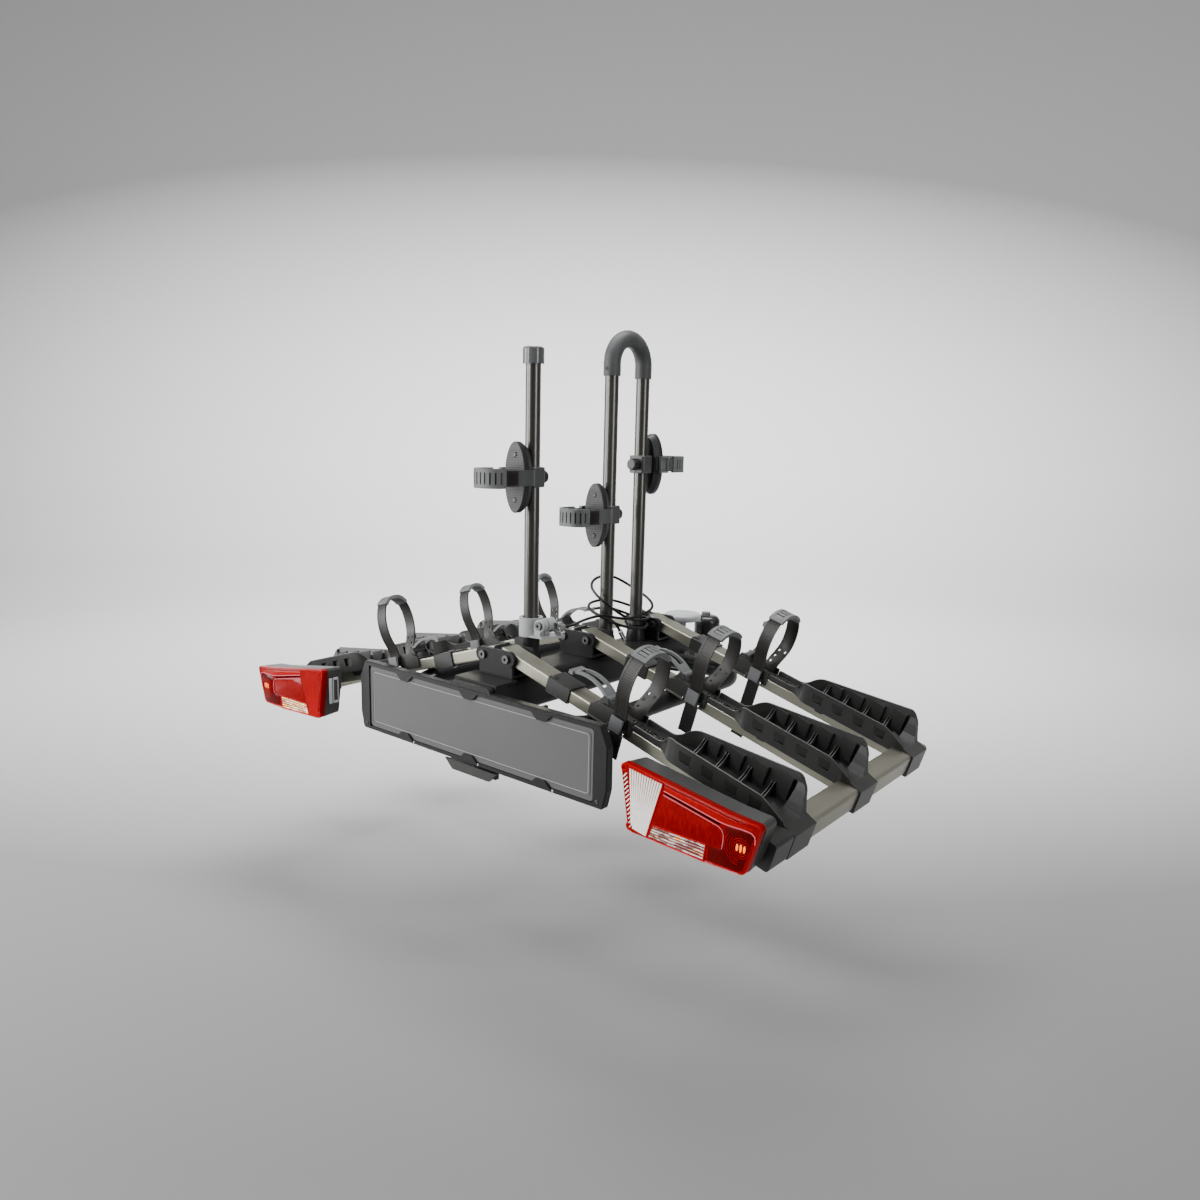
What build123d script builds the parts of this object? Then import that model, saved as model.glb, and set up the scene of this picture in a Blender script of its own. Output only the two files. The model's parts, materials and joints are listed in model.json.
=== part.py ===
from build123d import *
import math
import os

# Tow-bar bike carrier for three bikes. Millimetres. The origin is the centre of the tow ball,
# +X is right as seen from behind the vehicle, +Y points to the vehicle and +Z is up.
# On a wing, t runs outwards along the rail from its hinge pin and n stands square to it.

# Clearances
seat_gap = 0.2
move_gap = 0.5
running_gap = 0.05

# Platform layout
rail_count = 3
rail_pitch = 200.0
first_rail_y = -516.0
hinge_x = 27.0
hinge_z = 102.0
droop = 16.5

# Rails and crossbars
rail_width = 35.0
rail_height = 20.0
rail_wall = 2.0
rail_corner = 2.0
rail_inner_end = -20.0
crossbar_start = 509.0
crossbar_width = 36.0
crossbar_height = 35.5
crossbar_low = -18.5
crossbar_wall = 2.5
crossbar_corner = 6.0
crossbar_overhang = 36.0
crossbar_lamp_end = 60.0

# Wheel trays
tray_start = 262.0
tray_neck_end = 308.0
tray_belly_start = 350.0
tray_nose_start = 503.0
tray_nose_end = 529.0
tray_neck_half = 18.0
tray_belly_half = 35.5
tray_draft = 6.0
tray_wall = 2.4
tray_floor = 2.4
tray_neck_rim = 21.0
tray_near_rim = 46.0
tray_near_rim_end = 487.0
tray_far_rim = 39.0
tray_nose_rim = 62.0
tray_lip = 1.4
tray_lip_depth = 3.0
pocket_count = 4
pocket_first = 356.0
pocket_pitch = 39.2
pocket_length = 20.0
pocket_depth = 5.0
pocket_low = 22.0
pocket_high = 37.0
pocket_rise = 4.0
rib_thickness = 1.4
rib_top = 34.0
rib_hollow_radius = 38.0
rib_hollow_n = 52.0
rib_spacing = 4.0
neck_slot_count = 3
neck_slot_length = 8.0
neck_slot_width = 15.0
neck_slot_pitch = 14.0
drain_radius = 3.5
foot_half = 29.5
foot_wall = 2.6
foot_shoulder_drop = 4.0
mouth_half = 26.5

# Rail sleeves, end plugs and strap seats
sleeve_start = 88.0
sleeve_length = 47.0
sleeve_wall = 2.5
sleeve_ear_start = 84.0
sleeve_ear_length = 20.0
sleeve_ear_low = -25.0
sleeve_ear_thickness = 6.0
plug_thickness = 2.5
seat_start = 178.0
seat_end = 260.0
seat_half = 20.5
seat_wall = 2.6
seat_rim = 23.0
seat_skirt = 3.0
buckle_t = 238.0
buckle_n = 1.0
buckle_offset = 27.8
buckle_pin_radius = 2.0
buckle_barrel_radius = 3.5
buckle_lever_width = 22.0
buckle_lever_height = 20.0
buckle_lever_thickness = 3.5
cam_t = 199.0
cam_n = 27.0
cam_pin_radius = 2.5
cam_barrel_radius = 5.0
cam_lever_width = 24.0
cam_lever_length = 72.0
cam_lever_thickness = 4.5
cam_lever_rise = 13.0
cam_window_width = 13.0
cam_head_width = 30.0
cam_open_angle = 97.0

# Wheel straps
strap_width = 24.0
strap_thickness = 3.0
strap_top = 131.0
strap_bow = 33.0
strap_anchor_y = 15.0
strap_side_gap = 0.4
strap_sleeve_thickness = 6.0
strap_sleeve_width = 27.0
tail_lengths = (44.0, 56.0, 116.0)

# Main beam, loop tube and hinge brackets
beam_half = 40.0
beam_low = 10.0
beam_top = 70.0
beam_corner = 12.0
beam_wall = 4.0
beam_front = -18.0
loop_x = 197.0
loop_radius = 16.0
loop_wall = 2.5
loop_bend = 60.0
loop_rear_y = -559.0
loop_front_y = -88.0
bracket_plate = 5.0
bracket_emboss = 2.0
bracket_half = 44.0
bracket_body_half = 38.0
bracket_strip_radius = 12.5
bracket_base = 5.0
bracket_side_gap = 1.0
pin_radius = 4.0
pin_head_radius = 7.0
pin_head_height = 4.0
shelf_half = 48.0
shelf_thickness = 4.0
shelf_low = 42.0
lug_thickness = 4.0
lug_inner_x = 30.0

# Bike posts
post_radius = 12.5
post_wall = 2.0
single_post_y = -456.4
single_post_bottom = 78.0
single_post_top = 597.0
post_fit = 0.08
stub_radius = 15.0
stub_top = 157.0
stub_flare_radius = 18.8
stub_flare_height = 26.0
cap_radius = 17.5
cap_height = 27.0
cap_top_wall = 3.0
u_rear_y = -253.6
u_front_y = -161.5
u_top = 647.0
u_sleeve_low = 567.0
u_sleeve_thickness = 2.8
u_socket_top = 103.0

# Collar and lock cable
collar_low = 125.0
collar_height = 32.0
collar_wall = 5.0
collar_boss_x = 27.0
collar_boss_radius = 11.0
collar_boss_length = 40.0
collar_boss_z = 147.0
collar_bolt_radius = 4.0
lock_disc_radius = 8.5
lock_disc_x = 45.0
lock_barrel_y = -440.0
lock_barrel_length = 10.0
ferrule_length = 4.0
lock_disc_z = 140.0
cable_radius = 2.6
cable_lead = ((24.0, -350.0, 139.0), (22.5, -300.0, 141.0), (30.0, -268.0, 134.0), (41.5, -238.0, 127.0))
coil_centre_y = -207.5
coil_tilt = 12.0
coil_levels = (131.0, 200.0, 119.0, 152.0, 104.0, 136.0, 112.0)
coil_halves = (39.0, 35.0, 33.0, 35.5, 36.0, 32.0, 27.0)
coil_ends = (77.0, 75.0, 73.0, 82.0, 64.8, 71.0)
cable_tail = ((18.0, -272.0, 131.0), (27.0, -258.0, 121.0), (27.5, -247.0, 106.0))
cable_end_wall = 1.8
cable_end_length = 24.0
cable_end_offset = 0.2

# Frame clamps
clamp_heights = (392.0, 320.0, 410.0)
clamp_block_half = 17.5
clamp_block_front = 15.0
clamp_block_back = 14.0
clamp_block_height = 33.0
clamp_bore_gap = 0.08
pivot_radius = 5.0
pad_half_width = 23.0
pad_half_height = 57.5
pad_back = 19.0
pad_backing = 12.0
pad_face = 11.0
pad_rib_pitch = 4.0
pad_screw_radius = 3.2
pad_screw_spacing = 35.0
clamp_strap_height = 25.0
clamp_strap_thickness = 3.0
clamp_strap_reach = 115.0
clamp_strap_half = 30.0
clamp_sleeve_thickness = 6.0
knob_radius = 11.0
knob_length = 15.0
knob_lobes = 6

# Number-plate holder and lamps
plate_y = -594.0
plate_z = -5.0
plate_width = 520.0
plate_height = 110.0
plate_thickness = 1.5
holder_half = 287.0
holder_top_half = 273.5
holder_foot_half = 279.5
holder_cut = 30.0
holder_low = -63.0
holder_high = 64.0
holder_depth = 9.0
holder_rib_x = 130.0
holder_rib_thickness = 5.0
holder_wall = 3.0
tab_root = 45.0
tab_tip = 18.0
tab_drop = 9.0
tab_overlap = 3.0
tab_positions = (-162.0, -2.0, 158.0)
lamp_front_y = -639.0
lamp_corner = 8.0
lens_depth = 12.0
lamp_depth = 44.0
lamp_cap_gap = 3.5

# Coupling
ball_radius = 25.2
socket_low = -16.0
housing_radius = 32.5
housing_top = 46.0
tongue_half = 35.0
tilt_y = -50.0
tilt_z = 24.0
tilt_radius = 8.0
tongue_end_radius = 24.0
neck_top = 40.0
lock_y = 96.0
lock_radius = 27.5
lock_top = 84.0
key_radius = 9.5
key_height = 8.0
wheel_radius = 38.0
wheel_thickness = 15.0
wheel_top = 102.0
stem_radius = 8.0
lever_y = 48.0
lever_hub_radius = 12.0
lever_length = 78.0
lever_angle = 200.0
lever_thickness = 7.0
jaw_width = 18.0
jaw_depth = 9.0
jaw_height = 12.0
pedal_pin_y = -556.0
pedal_pin_z = -22.0
pedal_pin_radius = 5.0
pedal_half = 61.0
pedal_tip_half = 43.5
pedal_low = -87.0

# Sizes that follow from the ones above
rail_half = rail_width / 2
rail_top = rail_height / 2
tray_low = rail_top + seat_gap
droop_sin = math.sin(math.radians(droop))
droop_cos = math.cos(math.radians(droop))
draft_tan = math.tan(math.radians(tray_draft))
rail_ys = [first_rail_y + k * rail_pitch for k in range(rail_count)]
loop_drop = (loop_x - hinge_x) * droop_sin / droop_cos
loop_z = hinge_z - loop_drop - (rail_top + loop_radius + move_gap) / droop_cos
crossbar_end = crossbar_start + crossbar_width
foot_end = crossbar_end + seat_gap + foot_wall
foot_low = crossbar_low - seat_gap - foot_wall
crossbar_top = crossbar_low + crossbar_height
post_bend_radius = (u_front_y - u_rear_y) / 2
post_bend_z = u_top - post_radius - post_bend_radius
post_ys = (single_post_y, u_rear_y, u_front_y)


def save(name, *solids):
    shape = solids[0] if len(solids) == 1 else Compound(children=list(solids))
    export_step(shape, "parts/" + name + ".step")


def on_wing(shape, y, side):
    placed = Pos(hinge_x, y, hinge_z) * Rot(0, droop, 0) * shape
    return placed if side > 0 else mirror(placed, about=Plane.YZ)


def block(t0, t1, y0, y1, n0, n1):
    return Pos((t0 + t1) / 2, (y0 + y1) / 2, (n0 + n1) / 2) * Box(t1 - t0, y1 - y0, n1 - n0)


def along_y(sketch, y0, y1):
    plane = Plane(origin=(0, y1, 0), x_dir=(1, 0, 0), z_dir=(0, -1, 0))
    return extrude(plane * sketch, y1 - y0)


def along_x(sketch, x0, x1):
    plane = Plane(origin=(x0, 0, 0), x_dir=(0, 1, 0), z_dir=(1, 0, 0))
    return extrude(plane * sketch, x1 - x0)


def rod_y(radius, x, z, y0, y1):
    return Pos(x, (y0 + y1) / 2, z) * Rot(90, 0, 0) * Cylinder(radius, y1 - y0)


def rod_x(radius, y, z, x0, x1):
    return Pos((x0 + x1) / 2, y, z) * Rot(0, 90, 0) * Cylinder(radius, x1 - x0)


def rod_z(radius, x, y, z0, z1):
    return Pos(x, y, (z0 + z1) / 2) * Cylinder(radius, z1 - z0)


def face_of(*edges):
    return make_face(Wire(list(edges)))


def polygon(*points):
    return make_face(Polyline(*points, close=True))


def band_face(points, thickness):
    line = [Vector(*point) for point in points]
    sides = ([], [])
    for k, point in enumerate(line):
        run = (line[min(k + 1, len(line) - 1)] - line[max(k - 1, 0)]).normalized()
        square = Vector(-run.Y, run.X) * (thickness / 2)
        sides[0].append(point + square)
        sides[1].append(point - square)
    left = Spline(*sides[0])
    right = Spline(*reversed(sides[1]))
    return face_of(left, Line(left @ 1, right @ 0), right, Line(right @ 1, left @ 0))


def s_curve(start, end):
    middle = ((start[0] + end[0]) / 2, (start[1] + end[1]) / 2)
    first = TangentArc(start, middle, tangent=(1, 0))
    second = TangentArc(middle, end, tangent=first % 1)
    return first, second


# Rails, crossbars, sleeves and plugs
def rail():
    profile = RectangleRounded(rail_width, rail_height, rail_corner)
    inside = Rectangle(rail_width - 2 * rail_wall, rail_height - 2 * rail_wall)
    plane = Plane(origin=(rail_inner_end, 0, 0), x_dir=(0, 1, 0), z_dir=(1, 0, 0))
    tube = extrude(plane * (profile - inside), crossbar_start - rail_inner_end)
    return tube - rod_y(pin_radius + running_gap, 0, 0, -rail_width, rail_width)


def crossbar():
    y0 = rail_ys[0] - crossbar_lamp_end
    y1 = rail_ys[-1] + crossbar_overhang
    middle = (crossbar_start + crossbar_width / 2, crossbar_low + crossbar_height / 2)
    outside = Pos(*middle) * RectangleRounded(crossbar_width, crossbar_height, crossbar_corner)
    inside = Pos(*middle) * RectangleRounded(
        crossbar_width - 2 * crossbar_wall, crossbar_height - 2 * crossbar_wall,
        crossbar_corner - crossbar_wall)
    return along_y(outside - inside, y0, y1)


def rail_sleeve():
    reach = rail_half + seat_gap
    height = rail_top + seat_gap
    t1 = sleeve_start + sleeve_length
    body = block(sleeve_start, t1, -reach - sleeve_wall, reach + sleeve_wall,
                 -height - sleeve_wall, height + sleeve_wall)
    body = chamfer(body.edges().filter_by(Axis.X), 1.2)
    ear_profile = SlotOverall(height * 3, sleeve_ear_length, rotation=90)
    ear = Pos(sleeve_ear_start + sleeve_ear_length / 2, 0, sleeve_ear_low + height * 1.5) * ear_profile
    ear_y = -reach - sleeve_wall
    body += along_y(ear, ear_y - sleeve_ear_thickness, ear_y + sleeve_wall)
    return body - block(0, t1 + 50, -reach, reach, -height, height)


def end_plug():
    cap = block(rail_inner_end - plug_thickness, rail_inner_end, -rail_half, rail_half,
                -rail_top, rail_top)
    cap = fillet(cap.edges().filter_by(Axis.X), rail_corner)
    inner_half = rail_half - rail_wall - seat_gap
    inner_top = rail_top - rail_wall - seat_gap
    return cap + block(rail_inner_end, rail_inner_end + 12, -inner_half, inner_half,
                       -inner_top, inner_top)


def crossbar_plug():
    middle = (crossbar_start + crossbar_width / 2, crossbar_low + crossbar_height / 2)
    y = rail_ys[-1] + crossbar_overhang
    cap = Pos(*middle) * RectangleRounded(crossbar_width, crossbar_height, crossbar_corner)
    return along_y(cap, y, y + plug_thickness)


# Wheel trays
def tray_plan(start, shrink=0.0):
    neck = tray_neck_half - shrink
    belly = tray_belly_half - shrink
    foot = foot_half - shrink
    curve = s_curve((tray_neck_end + shrink / 2, neck), (tray_belly_start + shrink / 2, belly))
    nose = TangentArc((tray_nose_start, belly), (tray_nose_end, foot), tangent=(1, 0))
    upper = [
        Line((start, 0), (start, neck)),
        Line((start, neck), curve[0] @ 0),
        *curve,
        Line(curve[1] @ 1, (tray_nose_start, belly)),
        nose,
        Line(nose @ 1, (foot_end, foot)),
        Line((foot_end, foot), (foot_end, 0)),
    ]
    half = make_face(Wire(upper + [Line((foot_end, 0), (start, 0))]))
    return half + mirror(half, about=Plane.XZ)


def rim_edges(side, drop=0.0):
    rim = tray_far_rim if side > 0 else tray_near_rim
    start = (tray_neck_end - 4, tray_neck_rim - drop)
    curve = s_curve(start, (tray_belly_start - 6, rim - drop))
    edges = [Line((tray_start, tray_neck_rim - drop), curve[0] @ 0), *curve]
    if side > 0:
        edges.append(Line(curve[1] @ 1, (tray_nose_start - 6, tray_nose_rim - drop)))
        edges.append(ThreePointArc(edges[-1] @ 1, (tray_nose_start + 8, tray_nose_rim - 8 - drop),
                                   (tray_nose_start + 17, tray_nose_rim - 24 - drop)))
    else:
        edges.append(Line(curve[1] @ 1, (tray_near_rim_end, tray_near_rim - drop)))
        edges.append(ThreePointArc(edges[-1] @ 1, (tray_nose_start + 2, tray_near_rim - 6.5 - drop),
                                   (tray_nose_start + 22, tray_near_rim - 19 - drop)))
    return edges


def tray_profile(side):
    rim = rim_edges(side)
    shoulder = (foot_end, crossbar_top + foot_wall - foot_shoulder_drop)
    down = Line(rim[-1] @ 1, (tray_nose_end, crossbar_top + foot_wall + 1))
    return face_of(
        *rim, down,
        Line(down @ 1, shoulder),
        Line(shoulder, (foot_end, tray_low)),
        Line((foot_end, tray_low), (tray_start, tray_low)),
        Line((tray_start, tray_low), (tray_start, tray_neck_rim)),
    )


def lip_profile(side):
    top = rim_edges(side)
    low = rim_edges(side, tray_lip_depth)
    return face_of(*top, Line(top[-1] @ 1, low[-1] @ 1), *low, Line(low[0] @ 0, top[0] @ 0))


def tray_half(solid, profile, side):
    """Cuts one side of the tray's body to its own rim."""
    return solid & along_y(profile, min(0.0, 60.0 * side), max(0.0, 60.0 * side))


def tray_ribs():
    low = tray_belly_half - tray_wall / 2
    high = low + (rib_top - tray_low) * draft_tan
    outline = polygon((-low, tray_low + 1), (low, tray_low + 1), (high, rib_top), (-high, rib_top))
    ribs = []
    for k in range(pocket_count):
        for step in (1, 2):
            t = pocket_first + k * pocket_pitch + 2 - step * rib_spacing
            ribs.append(extrude(Plane.YZ.offset(t) * outline, rib_thickness))
    hollow = rod_x(rib_hollow_radius, 0, rib_hollow_n, tray_neck_end, crossbar_start)
    return [rib - hollow for rib in ribs]


def tray_mouth():
    """The open outer end of a tray, wider towards the rim."""
    low = crossbar_top + foot_wall + 0.5
    outline = polygon((-mouth_half, low), (14, low), (22, low + 8), (30, low + 22), (34, low + 33),
                      (36.5, 90), (-mouth_half, 90))
    return extrude(Plane.YZ.offset(crossbar_start - 7) * outline, 60)


def pocket(t0, side, offset, length, depth, low, high):
    wall_y = tray_belly_half + (pocket_low + pocket_high) / 2 * draft_tan - tray_low * draft_tan
    outer = wall_y + 4 if offset == 0 else wall_y - 0.5
    inner = wall_y - offset
    sketch = polygon((t0, side * outer), (t0 + length, side * outer),
                     (t0 + length, side * (inner - depth)), (t0, side * inner))
    return extrude(Pos(0, 0, low) * sketch, high - low)


def tray_foot():
    low = foot_low
    top = crossbar_top + seat_gap + foot_wall
    inner = crossbar_start - 4
    outline = polygon((inner, low), (foot_end, low), (foot_end, top - foot_shoulder_drop),
                      (tray_nose_end, top), (inner, top))
    return along_y(outline, -foot_half, foot_half)


def tray():
    height = tray_nose_rim - tray_low + 6
    body = extrude(Pos(0, 0, tray_low) * tray_plan(tray_start), height, taper=-tray_draft)
    lip_plan = Pos(0, 0, tray_low) * offset(tray_plan(tray_start), tray_lip, kind=Kind.INTERSECTION)
    lip = extrude(lip_plan, height, taper=-tray_draft)
    shell = Part()
    for side in (-1, 1):
        shell += tray_half(body, tray_profile(side), side)
        shell += tray_half(lip, lip_profile(side), side)
    hollow = extrude(Pos(0, 0, tray_low) * tray_plan(tray_start - 20, tray_wall), height + 6,
                     taper=-tray_draft)
    hollow = hollow & block(tray_start - 30, crossbar_start - 6, -60, 60, tray_low + tray_floor, 90)
    shell = shell - hollow - tray_mouth()
    for k in range(pocket_count):
        t0 = pocket_first + k * pocket_pitch
        for side, high in ((-1, pocket_high), (1, pocket_high + k * pocket_rise)):
            shell += pocket(t0 - 1, side, tray_wall, pocket_length + 4, pocket_depth,
                            pocket_low - tray_wall, high + tray_wall)
    for k in range(pocket_count):
        t0 = pocket_first + k * pocket_pitch
        for side, high in ((-1, pocket_high), (1, pocket_high + k * pocket_rise)):
            shell -= pocket(t0, side, 0, pocket_length, pocket_depth, pocket_low, high)
    for rib in tray_ribs():
        shell += rib
    shell += tray_foot()
    for k in range(neck_slot_count):
        t = tray_start + 8 + k * neck_slot_pitch
        shell -= block(t, t + neck_slot_length, -neck_slot_width / 2, neck_slot_width / 2, 0, 20)
    shell -= rod_z(drain_radius, crossbar_start - 18, 0, 0, 30)
    clip = block(tray_belly_start + 6, tray_belly_start + 34, -rail_half - 3.4, rail_half + 3.4,
                 1, tray_low + 1)
    shell += chamfer(clip.edges().filter_by(Axis.Y).group_by(Axis.Z)[0], 8)
    g = seat_gap
    shell -= block(0, crossbar_start, -rail_half - g, rail_half + g, -rail_top - g, tray_low)
    bar = Pos(crossbar_start + crossbar_width / 2, crossbar_low + crossbar_height / 2) * \
        RectangleRounded(crossbar_width + 2 * g, crossbar_height + 2 * g, crossbar_corner + g)
    return shell - along_y(bar, -60, 60)


# Strap seats with their buckles and cam levers
def strap_seat():
    low = buckle_n - 4
    body = block(seat_start, seat_end, -seat_half, seat_half, low, seat_rim)
    nose = polygon((seat_start - 1, seat_rim + 1), (seat_start + 22, seat_rim + 1),
                   (seat_start - 1, tray_low + seat_skirt))
    body -= along_y(nose, -40, 40)
    body -= block(seat_start - 1, seat_end + 1, -seat_half + seat_wall, seat_half - seat_wall,
                  tray_low + tray_floor, seat_rim + 2)
    ear_y = cam_lever_width / 2 + seat_gap
    for side in (-1, 1):
        y0 = min(side * ear_y, side * (ear_y + 3.5))
        ear = polygon((cam_t - 14, tray_low + 1), (cam_t - 5, cam_n + 5), (cam_t + 5, cam_n + 5),
                      (cam_t + 16, tray_low + 1))
        body += along_y(ear, y0, y0 + 3.5)
    body += rod_y(cam_pin_radius, cam_t, cam_n, -ear_y - 2, ear_y + 2)
    ear_in = strap_width / 2 + strap_side_gap
    for side in (-1, 1):
        t0 = buckle_t + side * (ear_in + 1.5)
        body += block(t0 - 1.5, t0 + 1.5, -buckle_offset - 4, -seat_half + 1, low, buckle_n + 5)
    pin_reach = ear_in + 2
    body += rod_x(buckle_pin_radius, -buckle_offset, buckle_n, buckle_t - pin_reach, buckle_t + pin_reach)
    g = seat_gap
    return body - block(0, seat_end + 9, -rail_half - g, rail_half + g, -rail_top - 9, tray_low)


def buckle_lever():
    half = buckle_lever_width / 2
    barrel = rod_x(buckle_barrel_radius, -buckle_offset, buckle_n, buckle_t - half, buckle_t + half)
    t, y, n = buckle_lever_thickness, -buckle_offset, buckle_n
    outline = polygon((y - t, n), (y, n), (y + 1.5, n + buckle_lever_height),
                      (y - t + 0.5, n + buckle_lever_height + 1.5))
    lever = barrel + along_x(outline, buckle_t - half, buckle_t + half)
    return lever - rod_x(buckle_pin_radius + running_gap, y, n, buckle_t - 20, buckle_t + 20)


def cam_lever(angle=0.0):
    tip = (cam_t - cam_lever_length, cam_n + cam_lever_rise)
    crest = (cam_t - cam_lever_length * 0.5, cam_n + cam_lever_rise + 6)
    start = (cam_t, cam_n + cam_barrel_radius)
    outer = ThreePointArc(start, crest, tip)
    inner = ThreePointArc((tip[0], tip[1] - cam_lever_thickness), (crest[0], crest[1] - cam_lever_thickness),
                          (start[0], start[1] - cam_lever_thickness - 2))
    outline = face_of(outer, Line(tip, inner @ 0), inner, Line(inner @ 1, start))
    half = cam_lever_width / 2
    lever = along_y(outline, -half, half) + rod_y(cam_barrel_radius, cam_t, cam_n, -half, half)
    lever += block(tip[0] - 7, tip[0] + 1, -cam_head_width / 2, cam_head_width / 2,
                   tip[1] - cam_lever_thickness - 1, tip[1] + 0.5)
    lever -= block(tip[0] + 6, cam_t - 14, -cam_window_width / 2, cam_window_width / 2, 0, 90)
    lever -= rod_y(cam_pin_radius + running_gap, cam_t, cam_n, -40, 40)
    turn = Pos(cam_t, 0, cam_n) * Rot(0, angle, 0) * Pos(-cam_t, 0, -cam_n)
    return turn * lever


# Wheel straps: one band from the hanging tail through the buckle and over the wheel
def strap_line(tail):
    y = -seat_half - strap_side_gap - strap_thickness / 2
    return [(y - 2.5, -tail), (y - 1.0, -tail / 2), (y, 0), (y - 0.3, 20), (y - 4, 42),
            (-strap_bow, 74), (-strap_bow + 11, 112), (0, strap_top), (strap_bow - 10, 113),
            (strap_bow, 74), (strap_anchor_y + 5, 42), (strap_anchor_y, 26),
            (strap_anchor_y, tray_low + tray_floor + seat_gap)]


def wheel_strap(tail):
    points = strap_line(tail)
    band = along_x(band_face(points, strap_thickness), buckle_t - strap_width / 2,
                   buckle_t + strap_width / 2)
    path = Spline(*points)
    first = path.param_at_point(points[6])
    last = path.param_at_point(points[8])
    crown = [path @ (first + (last - first) * k / 6) for k in range(7)]
    crown = [(point.X, point.Y) for point in crown]
    half = strap_sleeve_width / 2
    return band + along_x(band_face(crown, strap_sleeve_thickness), buckle_t - half, buckle_t + half)


# Main beam, loop tube, hinge brackets and pins
def beam_section(shrink=0.0):
    middle = (beam_low + beam_top) / 2
    return Pos(0, middle) * RectangleRounded(
        2 * (beam_half - shrink), beam_top - beam_low - 2 * shrink, beam_corner - shrink)


def flared_socket(y, top):
    flare = face_of(
        Line((0, beam_top - 2), (stub_flare_radius, beam_top - 2)),
        Line((stub_flare_radius, beam_top - 2), (stub_flare_radius, beam_top + 3)),
        ThreePointArc((stub_flare_radius, beam_top + 3), (stub_radius + 3.2, beam_top + 12),
                      (stub_radius, beam_top + stub_flare_height)),
        Line((stub_radius, beam_top + stub_flare_height), (stub_radius, top)),
        Line((stub_radius, top), (0, top)),
        Line((0, top), (0, beam_top - 2)),
    )
    turned = revolve(Plane.XZ * flare, Axis.Z)
    return Pos(0, y, 0) * turned


def loop_path():
    y0 = loop_rear_y
    y1 = loop_front_y
    start = beam_half + seat_gap
    points = [(start, y1, loop_z), (loop_x, y1, loop_z), (loop_x, y0, loop_z),
              (-loop_x, y0, loop_z), (-loop_x, y1, loop_z), (-start, y1, loop_z)]
    return FilletPolyline(*points, radius=loop_bend)


def loop_tube():
    path = loop_path()
    ring = Circle(loop_radius) - Circle(loop_radius - loop_wall)
    plane = Plane(origin=path @ 0, z_dir=path % 0)
    tube = sweep(plane * ring, path=path)
    reach = pedal_pin_radius + 4
    lug = polygon((loop_rear_y - 12, loop_z - 8), (loop_rear_y + 6, loop_z - 12),
                  (pedal_pin_y + reach, pedal_pin_z), (pedal_pin_y + 4, pedal_pin_z - reach),
                  (pedal_pin_y - 4, pedal_pin_z - reach), (pedal_pin_y - reach, pedal_pin_z))
    lugs = along_x(lug, lug_inner_x, lug_inner_x + lug_thickness)
    lugs += mirror(lugs, about=Plane.YZ)
    for x in (-lug_inner_x - lug_thickness / 2, lug_inner_x + lug_thickness / 2):
        lugs -= rod_x(loop_radius - 1, loop_rear_y, loop_z, x - lug_thickness, x + lug_thickness)
        lugs -= rod_x(pedal_pin_radius - 1, pedal_pin_y, pedal_pin_z, x - lug_thickness, x + lug_thickness)
    return tube + lugs


def main_beam():
    outside = along_y(beam_section(), loop_rear_y, beam_front)
    inside = along_y(beam_section(beam_wall), loop_rear_y - 10, beam_front + 10)
    beam = outside - inside
    fork_y = tilt_y - tongue_end_radius - 12
    fork = polygon((fork_y, 100), (fork_y, -20), (20, -20), (20, 100))
    beam -= along_x(fork, -tongue_half - 0.8, tongue_half + 0.8)
    nose = face_of(
        Line((fork_y, beam_top + 1), (tilt_y + 4, tilt_z + tongue_end_radius + 2)),
        ThreePointArc((tilt_y + 4, tilt_z + tongue_end_radius + 2), (tilt_y + 27, tilt_z + 4),
                      (tilt_y + 12, beam_low - 1)),
        Line((tilt_y + 12, beam_low - 1), (40, beam_low - 1)),
        Line((40, beam_low - 1), (40, beam_top + 1)),
        Line((40, beam_top + 1), (fork_y, beam_top + 1)),
    )
    beam -= along_x(nose, -60, 60)
    beam -= rod_x(tilt_radius, tilt_y, tilt_z, -60, 60)
    for y in post_ys:
        beam += flared_socket(y, stub_top if y == single_post_y else u_socket_top)
    for y in post_ys:
        beam -= rod_z(post_radius + post_fit, 0, y, beam_top - beam_wall - 1, stub_top + 1)
    shelf_y = plate_y + holder_depth + seat_gap
    beam += block(-shelf_half, shelf_half, shelf_y, loop_rear_y + 22, beam_top - shelf_thickness, beam_top)
    beam += block(-shelf_half, shelf_half, shelf_y, shelf_y + shelf_thickness, shelf_low, beam_top)
    for x in (-shelf_half, shelf_half - shelf_thickness):
        beam += block(x, x + shelf_thickness, shelf_y, loop_rear_y, 40, beam_top)
    beam -= rod_x(loop_radius + seat_gap, loop_rear_y, loop_z, -100, 100)
    return beam


def hinge_bracket(y):
    inner = rail_half + bracket_side_gap
    outer = inner + bracket_plate
    strip = Pos(0, hinge_z) * SlotOverall(2 * bracket_half, 2 * bracket_strip_radius)
    low = beam_top + seat_gap
    body = Pos(0, (low + hinge_z) / 2) * Rectangle(2 * bracket_body_half, hinge_z - low)
    bracket = along_y(strip + body, y - outer, y + outer) - block(-80, 80, y - inner, y + inner, low + bracket_base, 200)
    for side in (-1, 1):
        y0 = y + side * outer - (bracket_emboss if side < 0 else 0)
        bracket += along_y(strip, y0, y0 + bracket_emboss)
    stop_top = hinge_z - rail_top
    bracket += block(-3, 3, y - inner, y + inner, low, stop_top)
    for x in (-hinge_x, hinge_x):
        bracket -= rod_y(pin_radius + running_gap, x, hinge_z, y - 60, y + 60)
    return bracket


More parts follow.
